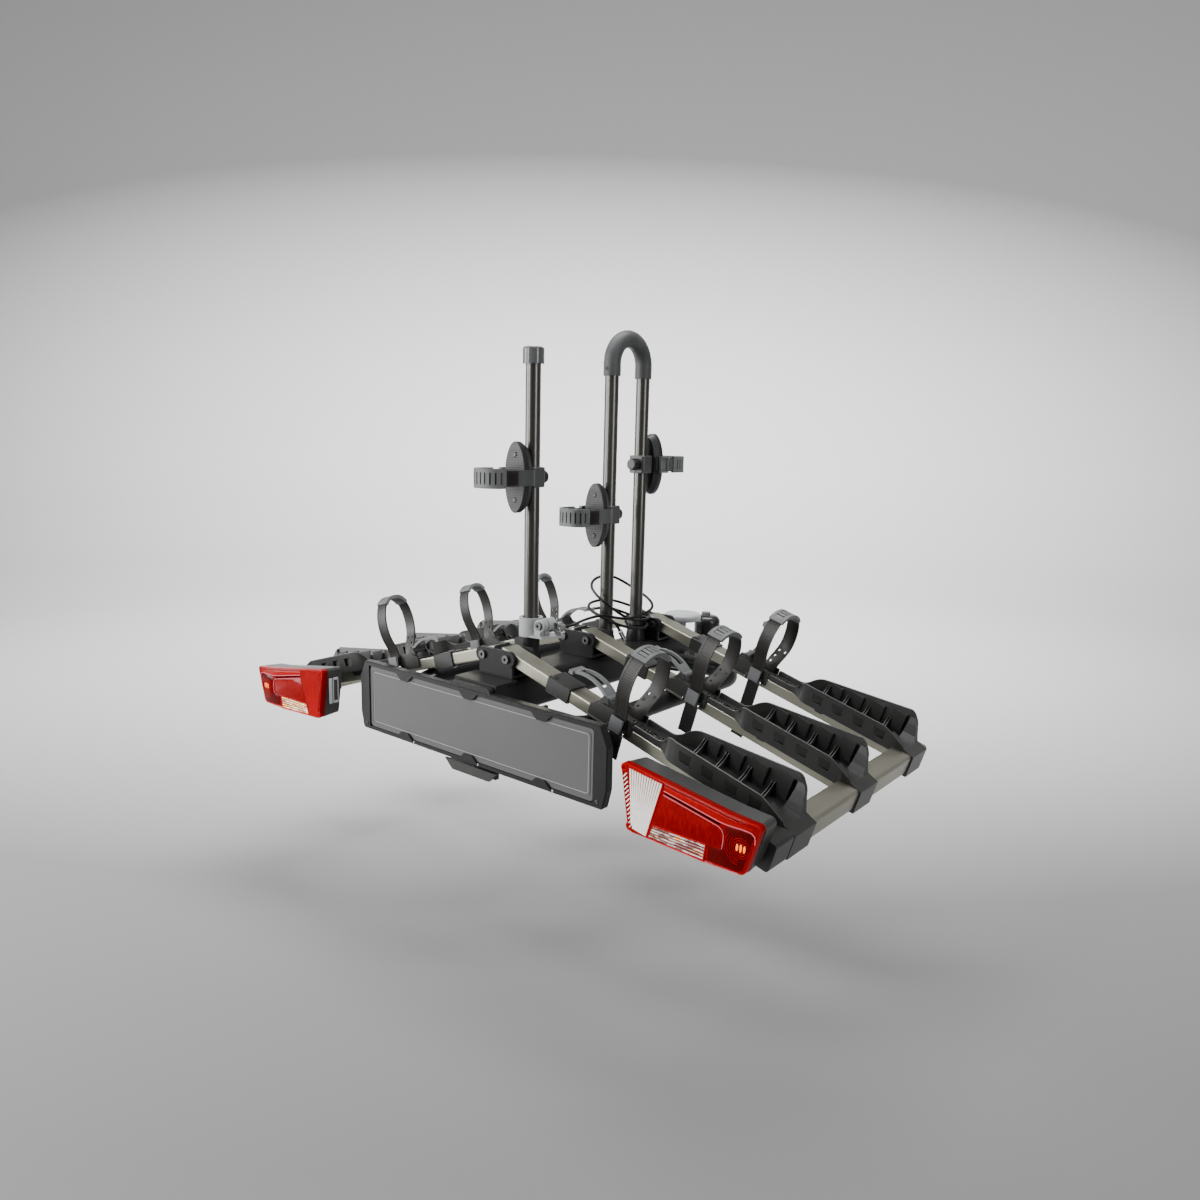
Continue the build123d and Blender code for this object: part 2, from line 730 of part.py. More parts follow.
def hinge_pin(x, y):
    reach = rail_half + bracket_side_gap + bracket_plate + bracket_emboss
    pin = rod_y(pin_radius, x, hinge_z, y - reach - 1, y + reach + 8)
    y0 = y - reach - pin_head_height
    head = rod_y(pin_head_radius, x, hinge_z, y0, y - reach)
    socket = along_y(Pos(x, hinge_z) * RegularPolygon(3, 6), y0 - 1, y0 + 2.5)
    nut = along_y(Pos(x, hinge_z) * RegularPolygon(pin_head_radius + 0.5, 6), y + reach, y + reach + 6)
    return pin + head + nut - socket


def collar_bolt():
    y0 = single_post_y - 13 - pin_head_height
    length = collar_boss_length - 10
    bolt = rod_y(collar_bolt_radius, collar_boss_x + 4, collar_boss_z, y0 + 1, y0 + length + 10)
    head = rod_y(pin_head_radius, collar_boss_x + 4, collar_boss_z, y0, y0 + pin_head_height)
    socket = along_y(Pos(collar_boss_x + 4, collar_boss_z) * RegularPolygon(3, 6), y0 - 1, y0 + 2.5)
    return bolt + head - socket


# Bike posts
def single_post():
    y = single_post_y
    post = rod_z(post_radius, 0, y, single_post_bottom, single_post_top)
    return post - rod_z(post_radius - post_wall, 0, y, single_post_bottom - 1, single_post_top + 1)


def post_cap():
    top = single_post_top + seat_gap + cap_top_wall
    y = single_post_y
    cap = rod_z(cap_radius, 0, y, top - cap_height, top)
    cap = fillet(cap.edges().group_by(Axis.Z)[-1], 4)
    return cap - rod_z(post_radius + seat_gap, 0, y, top - cap_height - 1, single_post_top + seat_gap)


def u_path(bottom):
    return Wire([
        Line((0, u_rear_y, bottom), (0, u_rear_y, post_bend_z)),
        ThreePointArc((0, u_rear_y, post_bend_z),
                      (0, (u_rear_y + u_front_y) / 2, post_bend_z + post_bend_radius),
                      (0, u_front_y, post_bend_z)),
        Line((0, u_front_y, post_bend_z), (0, u_front_y, bottom)),
    ])


def u_tube(bottom, inner, outer):
    path = u_path(bottom)
    ring = Circle(outer) - Circle(inner)
    return sweep(Plane(origin=(0, u_rear_y, bottom), z_dir=(0, 0, 1)) * ring, path=path)


# Collar, lock and cable
def post_collar():
    y = single_post_y
    inner = stub_radius + seat_gap
    ring = rod_z(inner + collar_wall, 0, y, collar_low, collar_low + collar_height)
    x = collar_boss_x + 4
    y0 = y - 13
    boss = rod_y(collar_boss_radius, x, collar_boss_z, y0, y0 + collar_boss_length - 8)
    web = block(8, x, y - 11, y + 13, collar_low, collar_boss_z)
    flange = Pos(0, y, collar_low) * extrude(
        polygon((0, -inner - 3), (x + 5, -12), (lock_disc_x + 6, 14), (lock_disc_x + 6, 28), (x, 28),
                (0, inner + 3)), 4)
    body = ring + boss + web + flange
    saddle_y = lock_barrel_y
    body += block(lock_disc_x - 4, lock_disc_x + 4, saddle_y + 2, saddle_y + 12, collar_low,
                  lock_disc_z - lock_disc_radius - 2)
    body -= rod_y(lock_disc_radius + 2 + seat_gap, lock_disc_x, lock_disc_z, saddle_y - 5, saddle_y + 30)
    body -= rod_z(inner, 0, y, collar_low - 1, collar_low + collar_height + 1)
    body -= block(inner - 3, x + 30, y - 0.8, y + 0.8, collar_low + 4, collar_low + 80)
    body -= rod_y(collar_bolt_radius + seat_gap, x, collar_boss_z, y - 60, y + 60)
    return body


def coil_route():
    points = []
    for turn, end in enumerate(coil_ends):
        side = 1 if turn % 2 == 0 else -1
        half, next_half = coil_halves[turn], coil_halves[turn + 1]
        level, next_level = coil_levels[turn], coil_levels[turn + 1]
        radius = (half + next_half) / 2
        run = end - radius
        bow = math.sqrt(0.5)
        plan = [(1, 0, 0), (1, run, 0.12), (bow, run + bow * radius, 0.3), (0, end, 0.5),
                (-bow, run + bow * radius, 0.7), (-1, run, 0.88)]
        if turn == 0:
            plan = plan[1:]
        if turn == len(coil_ends) - 1:
            plan = plan[:4]
        for across, along, share in plan:
            x = side * across * (half + (next_half - half) * share)
            z = level + (next_level - level) * share - coil_tilt * side * along / end
            points.append((x, coil_centre_y + side * along, z))
    return points


def cable_route():
    x, y, z = lock_disc_x, lock_barrel_y + lock_barrel_length + ferrule_length, lock_disc_z
    return [(x, y, z), (x, y + 28, z), *cable_lead, *coil_route(), *cable_tail]


def lock_cable():
    points = [Vector(*point) for point in cable_route()]
    radii = []
    for a, b, c in zip(points, points[1:], points[2:]):
        turn = math.radians((b - a).get_angle(c - b))
        radii.append(0.45 * min((b - a).length, (c - b).length) / math.tan(turn / 2))
    path = FilletPolyline(*points, radius=radii)
    tube = sweep(Plane(origin=points[0], z_dir=points[1] - points[0]) * Circle(cable_radius), path=path)
    section = math.pi * cable_radius ** 2
    print("cable length", round(path.length, 1), "volume share", round(tube.volume / section / path.length, 4))
    print("cable radii in diameters", [round(r / cable_radius / 2, 1) for r in radii])
    samples = [path @ (k / 900) for k in range(901)]
    spacing = path.length / 900
    skip = int(6 * cable_radius / spacing) + 1
    gap = min((samples[i] - samples[j]).length for i in range(901) for j in range(i + skip, 901))
    print("least gap of the cable to itself", round(gap - 2 * cable_radius, 2))
    return tube


def lock_barrel():
    y0 = lock_barrel_y
    y1 = y0 + lock_barrel_length
    barrel = rod_y(lock_disc_radius + 2, lock_disc_x, lock_disc_z, y0, y1)
    barrel = chamfer(barrel.edges().filter_by(GeomType.CIRCLE).group_by(Axis.Y)[0], 1)
    barrel -= rod_y(lock_disc_radius - 1, lock_disc_x, lock_disc_z, y0 - 1, y0 + 1.5)
    for i in (-1, 0, 1):
        for k in (-1, 0, 1):
            barrel += rod_y(1.5, lock_disc_x + 4.4 * i, lock_disc_z + 4.4 * k, y0 + 0.5, y0 + 2)
    ferrule = rod_y(cable_radius + 1.2, lock_disc_x, lock_disc_z, y1 - 1, y1 + ferrule_length)
    return barrel + ferrule


def cable_end():
    last, end = [Vector(*point) for point in cable_route()[-2:]]
    plane = Plane(origin=end, z_dir=end - last)
    radius = cable_radius + cable_end_wall
    fitting = extrude(plane.offset(cable_end_offset) * Circle(radius), cable_end_length)
    return fillet(fitting.edges().filter_by(GeomType.CIRCLE), cable_end_wall * 0.8)


# Frame clamps: drawn on a post at the origin with the pad on the -Y side
def clamp_block():
    half = clamp_block_height / 2
    width = 2 * clamp_block_half
    depth = clamp_block_front + clamp_block_back
    middle = (clamp_block_back - clamp_block_front) / 2
    body = Pos(0, middle, 0) * extrude(RectangleRounded(width, depth, 5), half, both=True)
    body = chamfer(body.faces().sort_by(Axis.Z)[-1].edges() + body.faces().sort_by(Axis.Z)[0].edges(), 1.5)
    body -= rod_z(post_radius + clamp_bore_gap, 0, 0, -half - 1, half + 1)
    body += rod_y(pivot_radius, 0, 0, -pad_back - 6, -clamp_block_front + 1)
    body += rod_y(4, 0, 0, clamp_block_back - 1, clamp_block_back + 8)
    body -= block(-1, 1, post_radius - 1, clamp_block_back + 1, -half - 1, -pivot_radius)
    return body


def clamp_knob():
    y0 = clamp_block_back + move_gap
    knob = rod_y(knob_radius, 0, 0, y0, y0 + knob_length)
    knob = fillet(knob.edges().filter_by(GeomType.CIRCLE).group_by(Axis.Y)[-1], 3)
    for k in range(knob_lobes):
        angle = math.radians(360 / knob_lobes * k)
        reach = knob_radius + 2.2
        knob -= rod_y(3.6, reach * math.cos(angle), reach * math.sin(angle), y0 - 1, y0 + knob_length + 1)
    return knob - rod_y(4 + running_gap, 0, 0, y0 - 1, y0 + 8.5)


def pad_blank(grow=0.0):
    back = Plane(origin=(0, -pad_back, 0), x_dir=(1, 0, 0), z_dir=(0, -1, 0))
    front = back.offset(pad_backing)
    rim = Ellipse(pad_half_width + grow, pad_half_height + grow)
    cup = loft([back * Ellipse(pad_half_width - 5 + grow, pad_half_height - 7 + grow), front * rim])
    face = extrude(front * rim, pad_face)
    return cup + fillet(face.edges().group_by(Axis.Y)[0], 1.5)


def clamp_pad():
    y0 = -pad_back
    pad = pad_blank()
    y1 = y0 - pad_backing - pad_face
    count = int(2 * (pad_half_height - 8) / pad_rib_pitch)
    for k in range(count):
        z = -pad_half_height + 9 + k * pad_rib_pitch
        groove = block(-40, 40, y1 - 1, y1 + 0.8, z - 0.7, z + 0.7)
        pad -= groove
    for k in (-1, 0, 1):
        pad -= rod_y(pad_screw_radius, 0, k * pad_screw_spacing, y1 - 1, y1 + 3)
    return pad - rod_y(pivot_radius + running_gap, 0, 0, y0 - 6.5, y0 + 1)


def clamp_strap():
    half = clamp_strap_half
    tip = -clamp_strap_reach
    back = -(clamp_block_front + pad_back) / 2
    side = pad_half_width + seat_gap + clamp_strap_thickness / 2
    near = [(pivot_radius + 2, back), (side - 8, back - 0.4), (side + 0.3, back - 8),
            (side + 1.5, -pad_back - pad_backing - pad_face), (half, tip + 42), (half - 8, tip + 12)]
    points = near + [(0, tip)] + [(-x, y) for x, y in reversed(near)]
    band = extrude(band_face(points, clamp_strap_thickness), clamp_strap_height / 2, both=True)
    path = Spline(*points)
    first = path.param_at_point(points[4])
    last = path.param_at_point(points[8])
    crown = [path @ (first + (last - first) * k / 8) for k in range(9)]
    crown = [(point.X, point.Y) for point in crown]
    cover = extrude(band_face(crown, clamp_sleeve_thickness), clamp_strap_height / 2 + 1.5, both=True)
    front = -clamp_block_front - seat_gap
    room = block(-clamp_block_half, clamp_block_half, front, 0, -clamp_block_height, clamp_block_height)
    return band + cover - pad_blank(seat_gap) - room


def on_post(shape, post_y, z, turned):
    return Pos(0, post_y, z) * Rot(0, 0, 180 if turned else 0) * shape


# Number-plate holder and lamps
def holder_outline(grow=0.0):
    """Front view of the board, with its outer corners cut off."""
    high = plate_z + holder_high + grow
    low = plate_z + holder_low - grow
    half = [(holder_top_half + grow, high), (holder_half + grow, high - holder_cut),
            (holder_half + grow, low + holder_cut), (holder_foot_half + grow, low)]
    outline = polygon(*half, *[(-x, z) for x, z in reversed(half)])
    return fillet(outline.vertices(), 5)


def plate_tab(x, up):
    turn = 1 if up else -1
    edge = plate_z + turn * (plate_height / 2 + tab_overlap)
    tip = edge - turn * (tab_overlap + tab_drop)
    outline = polygon((x - tab_root / 2, edge), (x + tab_root / 2, edge), (x + tab_tip / 2, tip),
                      (x - tab_tip / 2, tip))
    return along_y(outline, plate_y - 5.6, plate_y - 3.2)


def plate_holder():
    front = plate_y - 4
    back = plate_y + holder_depth
    body = along_y(holder_outline(-1), front, back)
    body = chamfer(body.faces().sort_by(Axis.Y)[0].edges(), 1.5)
    body -= along_y(holder_outline(-1 - holder_wall), front + 8, back + 1)
    body -= Pos(0, plate_y - 10 + seat_gap, plate_z) * Box(plate_width + 1, 20, plate_height + 1)
    for x in tab_positions:
        for up in (True, False):
            body += plate_tab(x, up)
    for x in (-holder_rib_x, holder_rib_x):
        saddle = block(x - holder_rib_thickness / 2, x + holder_rib_thickness / 2, front + 7, loop_rear_y + 4,
                       loop_z - 26, loop_z + 26)
        body += saddle - rod_x(loop_radius + seat_gap, loop_rear_y, loop_z, x - 10, x + 10)
    bulge = Pos(0, holder_high + plate_z) * SlotOverall(90, 14)
    body += along_y(bulge, plate_y - 2, plate_y + 8)
    return body


def number_plate():
    plate = Plane(origin=(0, plate_y, plate_z), x_dir=(1, 0, 0), z_dir=(0, -1, 0))
    blank = extrude(plate * RectangleRounded(plate_width, plate_height, 8), plate_thickness)
    border = RectangleRounded(plate_width - 12, plate_height - 12, 6) - \
        RectangleRounded(plate_width - 16, plate_height - 16, 5)
    return blank + extrude(plate.offset(plate_thickness) * border, 0.7)


def latch_pedal():
    y, z = pedal_pin_y, pedal_pin_z
    hub = rod_x(pedal_pin_radius + 4, y, z, -29, 29)
    floor = plate_z + holder_low - 6
    arm = polygon((y - 4, z), (y + 4, z), (y + 4, floor - 4), (plate_y, floor - 4), (plate_y, floor),
                  (y - 4, floor))
    body = hub + along_x(arm, -26, 26)
    foot = polygon((-pedal_half, plate_z + holder_low - 3), (pedal_half, plate_z + holder_low - 3),
                   (pedal_tip_half, pedal_low), (-pedal_tip_half, pedal_low))
    body += along_y(foot, plate_y - 2, plate_y + 2.2)
    return body - rod_x(pedal_pin_radius - 1 + running_gap, y, z, -60, 60)


def pedal_pin():
    return rod_x(pedal_pin_radius - 1, pedal_pin_y, pedal_pin_z, -36, 36)


def lamp_outline(grow=0.0):
    points = [(341 - grow, 36 + grow), (514, 9 + grow), (560 + grow, 5 + grow),
              (539 + grow, -66 - grow), (357 - grow, -61 - grow)]
    return polygon(*points)


def rounded_sides(solid, radius):
    """Rounds the edges that run from the front to the back."""
    return fillet(solid.edges().group_by(Axis.Y)[1], radius)


def lamp_housing():
    plane = Plane(origin=(0, lamp_front_y + lens_depth, 0), x_dir=(1, 0, 0), z_dir=(0, -1, 0))
    body = extrude(plane.offset(-(lamp_depth - lens_depth)) * lamp_outline(-3.0), lamp_depth - lens_depth,
                   taper=-4)
    body = rounded_sides(body, lamp_corner)
    room = extrude(plane.offset(-(lamp_depth - lens_depth - 3)) * lamp_outline(-7.5),
                   lamp_depth, taper=-4)
    body -= room
    y1 = rail_ys[0] - foot_half - lamp_cap_gap
    t0 = crossbar_start - seat_gap - foot_wall
    t1 = foot_end
    n0 = foot_low
    n1 = crossbar_top + seat_gap + foot_wall
    back_y = lamp_front_y + lamp_depth
    cap = Rectangle(t1 - t0, n1 - n0)
    cap_place = Pos((t0 + t1) / 2, (n0 + n1) / 2)
    cap = fillet(cap.vertices(), 5)
    g = seat_gap
    bar = Pos(crossbar_start + crossbar_width / 2, crossbar_low + crossbar_height / 2) * \
        RectangleRounded(crossbar_width + 2 * g, crossbar_height + 2 * g, crossbar_corner + g)
    cover = along_y(cap_place * cap, back_y - 1, y1)
    cover -= along_y(bar, rail_ys[0] - crossbar_lamp_end - g, y1 + 5)
    tray_side = tray_belly_half + (crossbar_top + 10) * draft_tan + tray_lip + move_gap
    cover -= block(t0 - 1, tray_nose_end + 1, rail_ys[0] - tray_side, y1 + 1, tray_low - 0.5, n1 + 1)
    return body + on_wing(cover, 0, 1)


def lamp_lens():
    plane = Plane(origin=(0, lamp_front_y, 0), x_dir=(1, 0, 0), z_dir=(0, -1, 0))
    lens = extrude(plane.offset(-lens_depth + seat_gap) * lamp_outline(), lens_depth - seat_gap, taper=6)
    return rounded_sides(lens, lamp_corner)


# Coupling on the tow ball
def coupling_body():
    shell = rod_z(housing_radius, 0, 0, socket_low, housing_top)
    shell = fillet(shell.edges().group_by(Axis.Z)[-1], 9)
    tongue_y = tilt_y
    neck = face_of(
        Line((0, tilt_z + tongue_end_radius), (tongue_y, tilt_z + tongue_end_radius)),
        ThreePointArc((tongue_y, tilt_z + tongue_end_radius), (tongue_y - tongue_end_radius, tilt_z),
                      (tongue_y, tilt_z - tongue_end_radius)),
        Line((tongue_y, tilt_z - tongue_end_radius), (0, tilt_z - tongue_end_radius)),
        Line((0, tilt_z - tongue_end_radius), (0, tilt_z + tongue_end_radius)),
    )
    arm = face_of(
        Line((0, 4), (0, neck_top)), Line((0, neck_top), (lock_y, neck_top)),
        Line((lock_y, neck_top), (lock_y, 14)), Line((lock_y, 14), (0, 4)),
    )
    body = shell + along_x(neck, -tongue_half, tongue_half) + along_x(arm, -lock_radius, lock_radius)
    body += rod_z(lock_radius, 0, lock_y, 14, neck_top)
    body += rod_z(stem_radius + 5, 0, 0, housing_top - 1, housing_top + 12)
    body += rod_z(5, 0, lever_y, neck_top - 1, neck_top + lever_thickness + 6)
    body -= rod_z(ball_radius, 0, 0, socket_low - 1, 2)
    body -= Pos(0, 0, 2) * Sphere(ball_radius)
    body -= rod_z(stem_radius + running_gap, 0, 0, 20, housing_top + 20)
    jaw_y = ball_radius - 2
    body -= block(-jaw_width / 2 - 0.3, jaw_width / 2 + 0.3, jaw_y, jaw_y + jaw_depth + 6, 4,
                  4 + jaw_height + 1)
    return body - rod_x(tilt_radius + running_gap, tilt_y, tilt_z, -60, 60)


def tilt_bolt():
    reach = beam_half
    bolt = rod_x(tilt_radius, tilt_y, tilt_z, -reach, reach)
    for side in (-1, 1):
        x0 = side * reach
        hexagon = RegularPolygon(13, 6)
        plane = Plane(origin=(x0, tilt_y, tilt_z), x_dir=(0, 1, 0), z_dir=(side, 0, 0))
        bolt += extrude(plane * hexagon, 8)
    return bolt


def lock_housing():
    body = rod_z(lock_radius, 0, lock_y, neck_top + seat_gap, lock_top)
    body = fillet(body.edges().group_by(Axis.Z)[-1], 14)
    body += block(-5, 5, lock_y - lock_radius - 3, lock_y, neck_top + seat_gap, lock_top - 16)
    return body - rod_z(key_radius - 3 + running_gap, 0, lock_y - 6, lock_top - 12, lock_top + 1)


def lock_key():
    key = rod_z(key_radius, 0, lock_y - 6, lock_top + move_gap, lock_top + key_height)
    for k in range(12):
        angle = math.radians(30 * k)
        key -= rod_z(1.2, (key_radius + 0.4) * math.cos(angle),
                     lock_y - 6 + (key_radius + 0.4) * math.sin(angle), lock_top - 1, lock_top + 20)
    return key + rod_z(key_radius - 3, 0, lock_y - 6, lock_top - 11, lock_top + 1)


def tension_knob():
    disc = rod_z(wheel_radius, 0, 0, wheel_top - wheel_thickness, wheel_top)
    disc = fillet(disc.edges().filter_by(GeomType.CIRCLE), wheel_thickness * 0.4)
    return disc + rod_z(stem_radius, 0, 0, housing_top - 8, wheel_top - 2)


def clamp_lever():
    z0 = neck_top + move_gap
    z1 = z0 + lever_thickness
    hub = rod_z(lever_hub_radius, 0, lever_y, z0, z1)
    outline = polygon((0, -8), (lever_length, -11), (lever_length, 11), (0, 8))
    arm = Pos(0, lever_y, z0) * Rot(0, 0, lever_angle) * extrude(fillet(outline.vertices(), 4), lever_thickness)
    raised = Pos(0, lever_y, z0) * Rot(0, 0, lever_angle) * Pos(lever_length - 14, 0, 0) * \
        extrude(RectangleRounded(26, 20, 8), 16)
    return hub + arm + raised - rod_z(5 + running_gap, 0, lever_y, z0 - 1, z1 + 1)


def ball_jaw():
    y0 = ball_radius + 0.6
    jaw = block(-jaw_width / 2, jaw_width / 2, y0, y0 + jaw_depth, 4.3, 4.3 + jaw_height)
    return jaw - Pos(0, 0, 2) * Sphere(ball_radius + 0.3)


os.makedirs("parts", exist_ok=True)

save("coupling_body", coupling_body())
save("lock_housing", lock_housing())
save("lock_key", lock_key())
save("tension_knob", tension_knob())
save("clamp_lever", clamp_lever())
save("ball_jaw", ball_jaw())

save("main_beam", main_beam())
save("frame_tube", loop_tube())
save("hinge_brackets", *[hinge_bracket(y) for y in rail_ys])
pins = [hinge_pin(x, y) for x in (-hinge_x, hinge_x) for y in rail_ys]
save("frame_bolts", *pins, collar_bolt(), pedal_pin(), tilt_bolt())
save("single_post", single_post())
save("post_cap", post_cap())
save("u_frame", u_tube(beam_top - beam_wall, post_radius - post_wall, post_radius))
save("u_frame_sleeve", u_tube(u_sleeve_low, post_radius + seat_gap,
                              post_radius + seat_gap + u_sleeve_thickness))
save("post_collar", post_collar())
save("lock_cable", lock_cable())
save("cable_lock", lock_barrel(), cable_end())
save("plate_holder", plate_holder())
save("number_plate", number_plate())
save("latch_pedal", latch_pedal())

for number, (post_y, z) in enumerate(zip(post_ys, clamp_heights), 1):
    for piece, shape in (("block", clamp_block()), ("pad", clamp_pad()), ("knob", clamp_knob()),
                         ("strap", clamp_strap())):
        save("clamp_{}_{}".format(number, piece), on_post(shape, post_y, z, number == 3))

for name, side in (("right", 1), ("left", -1)):
    fittings = [on_wing(rail_sleeve(), y, side) for y in rail_ys]
    fittings += [on_wing(end_plug(), y, side) for y in rail_ys]
    fittings.append(on_wing(crossbar_plug(), 0, side))
    save(name + "_rails", *[on_wing(rail(), y, side) for y in rail_ys])
    save(name + "_crossbar", on_wing(crossbar(), 0, side))
    save(name + "_rail_fittings", *fittings)
    save(name + "_trays", *[on_wing(tray(), y, side) for y in rail_ys])
    save(name + "_strap_seats", *[on_wing(strap_seat(), y, side) for y in rail_ys])
    straps = [wheel_strap(tail) for tail in tail_lengths]
    save(name + "_wheel_straps", *[on_wing(s, y, side) for s, y in zip(straps, rail_ys)])
    housing = lamp_housing()
    lens = lamp_lens()
    save(name + "_lamp_housing", housing if side > 0 else mirror(housing, about=Plane.YZ))
    save(name + "_lamp_lens", lens if side > 0 else mirror(lens, about=Plane.YZ))
    for number, y in enumerate(rail_ys, 1):
        angle = cam_open_angle if side > 0 and number == rail_count else 0.0
        save("{}_buckle_lever_{}".format(name, number), on_wing(buckle_lever(), y, side))
        save("{}_cam_lever_{}".format(name, number), on_wing(cam_lever(angle), y, side))
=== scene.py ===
import json
import math

import bmesh
import bpy
from bpy.props import FloatProperty, FloatVectorProperty, PointerProperty
from mathutils import Matrix, Vector


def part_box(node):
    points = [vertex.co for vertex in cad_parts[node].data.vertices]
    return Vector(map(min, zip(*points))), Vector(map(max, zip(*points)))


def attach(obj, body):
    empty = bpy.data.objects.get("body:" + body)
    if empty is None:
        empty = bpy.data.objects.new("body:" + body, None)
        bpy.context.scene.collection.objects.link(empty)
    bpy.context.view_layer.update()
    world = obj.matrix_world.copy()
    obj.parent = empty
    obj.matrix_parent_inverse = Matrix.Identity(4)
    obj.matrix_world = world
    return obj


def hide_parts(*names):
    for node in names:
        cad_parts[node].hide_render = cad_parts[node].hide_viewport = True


bl_info = {
    "name": "Tow-Bar Bike Carrier",
    "version": (1, 0, 0),
    "blender": (4, 5, 0),
    "location": "View3D > Sidebar > Carrier",
    "description": "Finishes the bike carrier: straps, cable, clamps, board, lamps, materials and stage",
    "category": "Object",
}

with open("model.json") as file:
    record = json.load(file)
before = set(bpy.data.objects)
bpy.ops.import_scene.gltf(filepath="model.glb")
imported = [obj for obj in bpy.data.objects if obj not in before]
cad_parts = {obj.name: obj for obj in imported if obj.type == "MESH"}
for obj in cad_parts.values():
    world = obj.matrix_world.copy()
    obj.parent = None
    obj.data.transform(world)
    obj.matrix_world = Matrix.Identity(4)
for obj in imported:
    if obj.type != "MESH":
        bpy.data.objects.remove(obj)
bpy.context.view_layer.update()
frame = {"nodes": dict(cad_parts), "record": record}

DROOP = math.radians(16.5)
HINGE = Vector((0.027, 0.0, 0.102))
RAIL_YS = (-0.516, -0.316, -0.116)
SIDES = (("right", 1), ("left", -1))
BUCKLE_T = 0.238


class Wire:
    """A socket of a node tree, so that shader maths reads as Python expressions."""

    def __init__(self, finish, socket):
        self.finish = finish
        self.socket = socket

    def math(self, operation, other=0.0, flip=False):
        first, second = (other, self) if flip else (self, other)
        return self.finish.node("ShaderNodeMath", {"operation": operation}, {0: first, 1: second})

    def __add__(self, other):
        return self.math("ADD", other)

    def __radd__(self, other):
        return self.math("ADD", other, True)

    def __sub__(self, other):
        return self.math("SUBTRACT", other)

    def __rsub__(self, other):
        return self.math("SUBTRACT", other, True)

    def __mul__(self, other):
        return self.math("MULTIPLY", other)

    def __rmul__(self, other):
        return self.math("MULTIPLY", other, True)

    def near(self, value, reach):
        """One where the value lies within reach of another, and zero elsewhere."""
        return self.finish.node("ShaderNodeMath", {"operation": "COMPARE"}, {0: self, 1: value, 2: reach})


class Finish:
    """A procedural material built around one Principled shader."""

    def __init__(self, name):
        self.material = bpy.data.materials.new(name)
        self.material.use_nodes = True
        self.tree = self.material.node_tree
        self.tree.nodes.clear()
        self.shader = self.tree.nodes.new("ShaderNodeBsdfPrincipled")
        output = self.tree.nodes.new("ShaderNodeOutputMaterial")
        self.tree.links.new(self.shader.outputs[0], output.inputs["Surface"])

    def node(self, kind, settings=None, sockets=None, output=0):
        made = self.tree.nodes.new(kind)
        for key, value in (settings or {}).items():
            if key == "stops":
                ramp = made.color_ramp
                while len(ramp.elements) < len(value):
                    ramp.elements.new(0.5)
                for element, (place, color) in zip(ramp.elements, value):
                    element.position = place
                    element.color = color
            else:
                setattr(made, key, value)
        for key, value in (sockets or {}).items():
            self.feed(made.inputs[key], value)
        return Wire(self, made.outputs[output])

    def feed(self, socket, value):
        if isinstance(value, Wire):
            self.tree.links.new(value.socket, socket)
        else:
            socket.default_value = value

    def place(self):
        return self.node("ShaderNodeTexCoord", output=3)

    def axes(self):
        parts = self.tree.nodes.new("ShaderNodeSeparateXYZ")
        self.feed(parts.inputs[0], self.place())
        return [Wire(self, socket) for socket in parts.outputs]

    def noise(self, scale, detail=3.0, stretch=None):
        vector = self.place()
        if stretch:
            vector = self.node("ShaderNodeMapping", {}, {"Vector": vector, "Scale": stretch})
        return self.node("ShaderNodeTexNoise", {}, {"Vector": vector, "Scale": scale, "Detail": detail})

    def ramp(self, wire, *stops):
        levels = [(place, (level, level, level, 1.0)) for place, level in stops]
        return self.node("ShaderNodeValToRGB", {"stops": levels}, {"Fac": wire})

    def mix(self, share, first, second):
        return self.node("ShaderNodeMix", {"data_type": "RGBA"}, {0: share, 6: first, 7: second}, output=2)

    def base(self, color, roughness, metallic=0.0, coat=0.0, coat_roughness=0.1, specular=0.5):
        self.feed(self.shader.inputs["Base Color"], color)
        self.shader.inputs["Specular IOR Level"].default_value = specular
        self.feed(self.shader.inputs["Roughness"], roughness)
        self.feed(self.shader.inputs["Metallic"], metallic)
        self.feed(self.shader.inputs["Coat Weight"], coat)
        self.shader.inputs["Coat Roughness"].default_value = coat_roughness

    def glow(self, color, strength):
        self.feed(self.shader.inputs["Emission Color"], color)
        self.shader.inputs["Emission Strength"].default_value = strength

    def bump(self, height, strength, distance):
        normal = self.node("ShaderNodeBump", {}, {
            "Height": height, "Strength": strength, "Distance": distance})
        self.feed(self.shader.inputs["Normal"], normal)


def shade(color, factor):
    return (color[0] * factor, color[1] * factor, color[2] * factor, 1.0)


# Finishes
def moulded_plastic(name, color, roughness, grain=0.2, grain_size=900.0):
    f = Finish(name)
    cloud = f.noise(9.0, 3.0)
    skin = f.noise(grain_size, 2.0)
    tone = f.mix(f.ramp(cloud, (0.35, 0.0), (0.7, 1.0)), shade(color, 0.88), shade(color, 1.15))
    f.base(tone, cloud * 0.12 + (roughness - 0.06), specular=0.42)
    f.bump(skin, grain, 0.00012)
    return f.material


def polished_plastic(name, color, roughness=0.22, coat=0.35):
    f = Finish(name)
    cloud = f.noise(6.0, 4.0)
    scuff = f.noise(140.0, 4.0, (1.0, 1.0, 6.0))
    tone = f.mix(cloud, shade(color, 0.9), shade(color, 1.15))
    f.base(tone, f.ramp(scuff, (0.4, roughness), (0.75, roughness + 0.12)), coat=coat, specular=0.25)
    f.bump(scuff, 0.02, 0.0002)
    return f.material


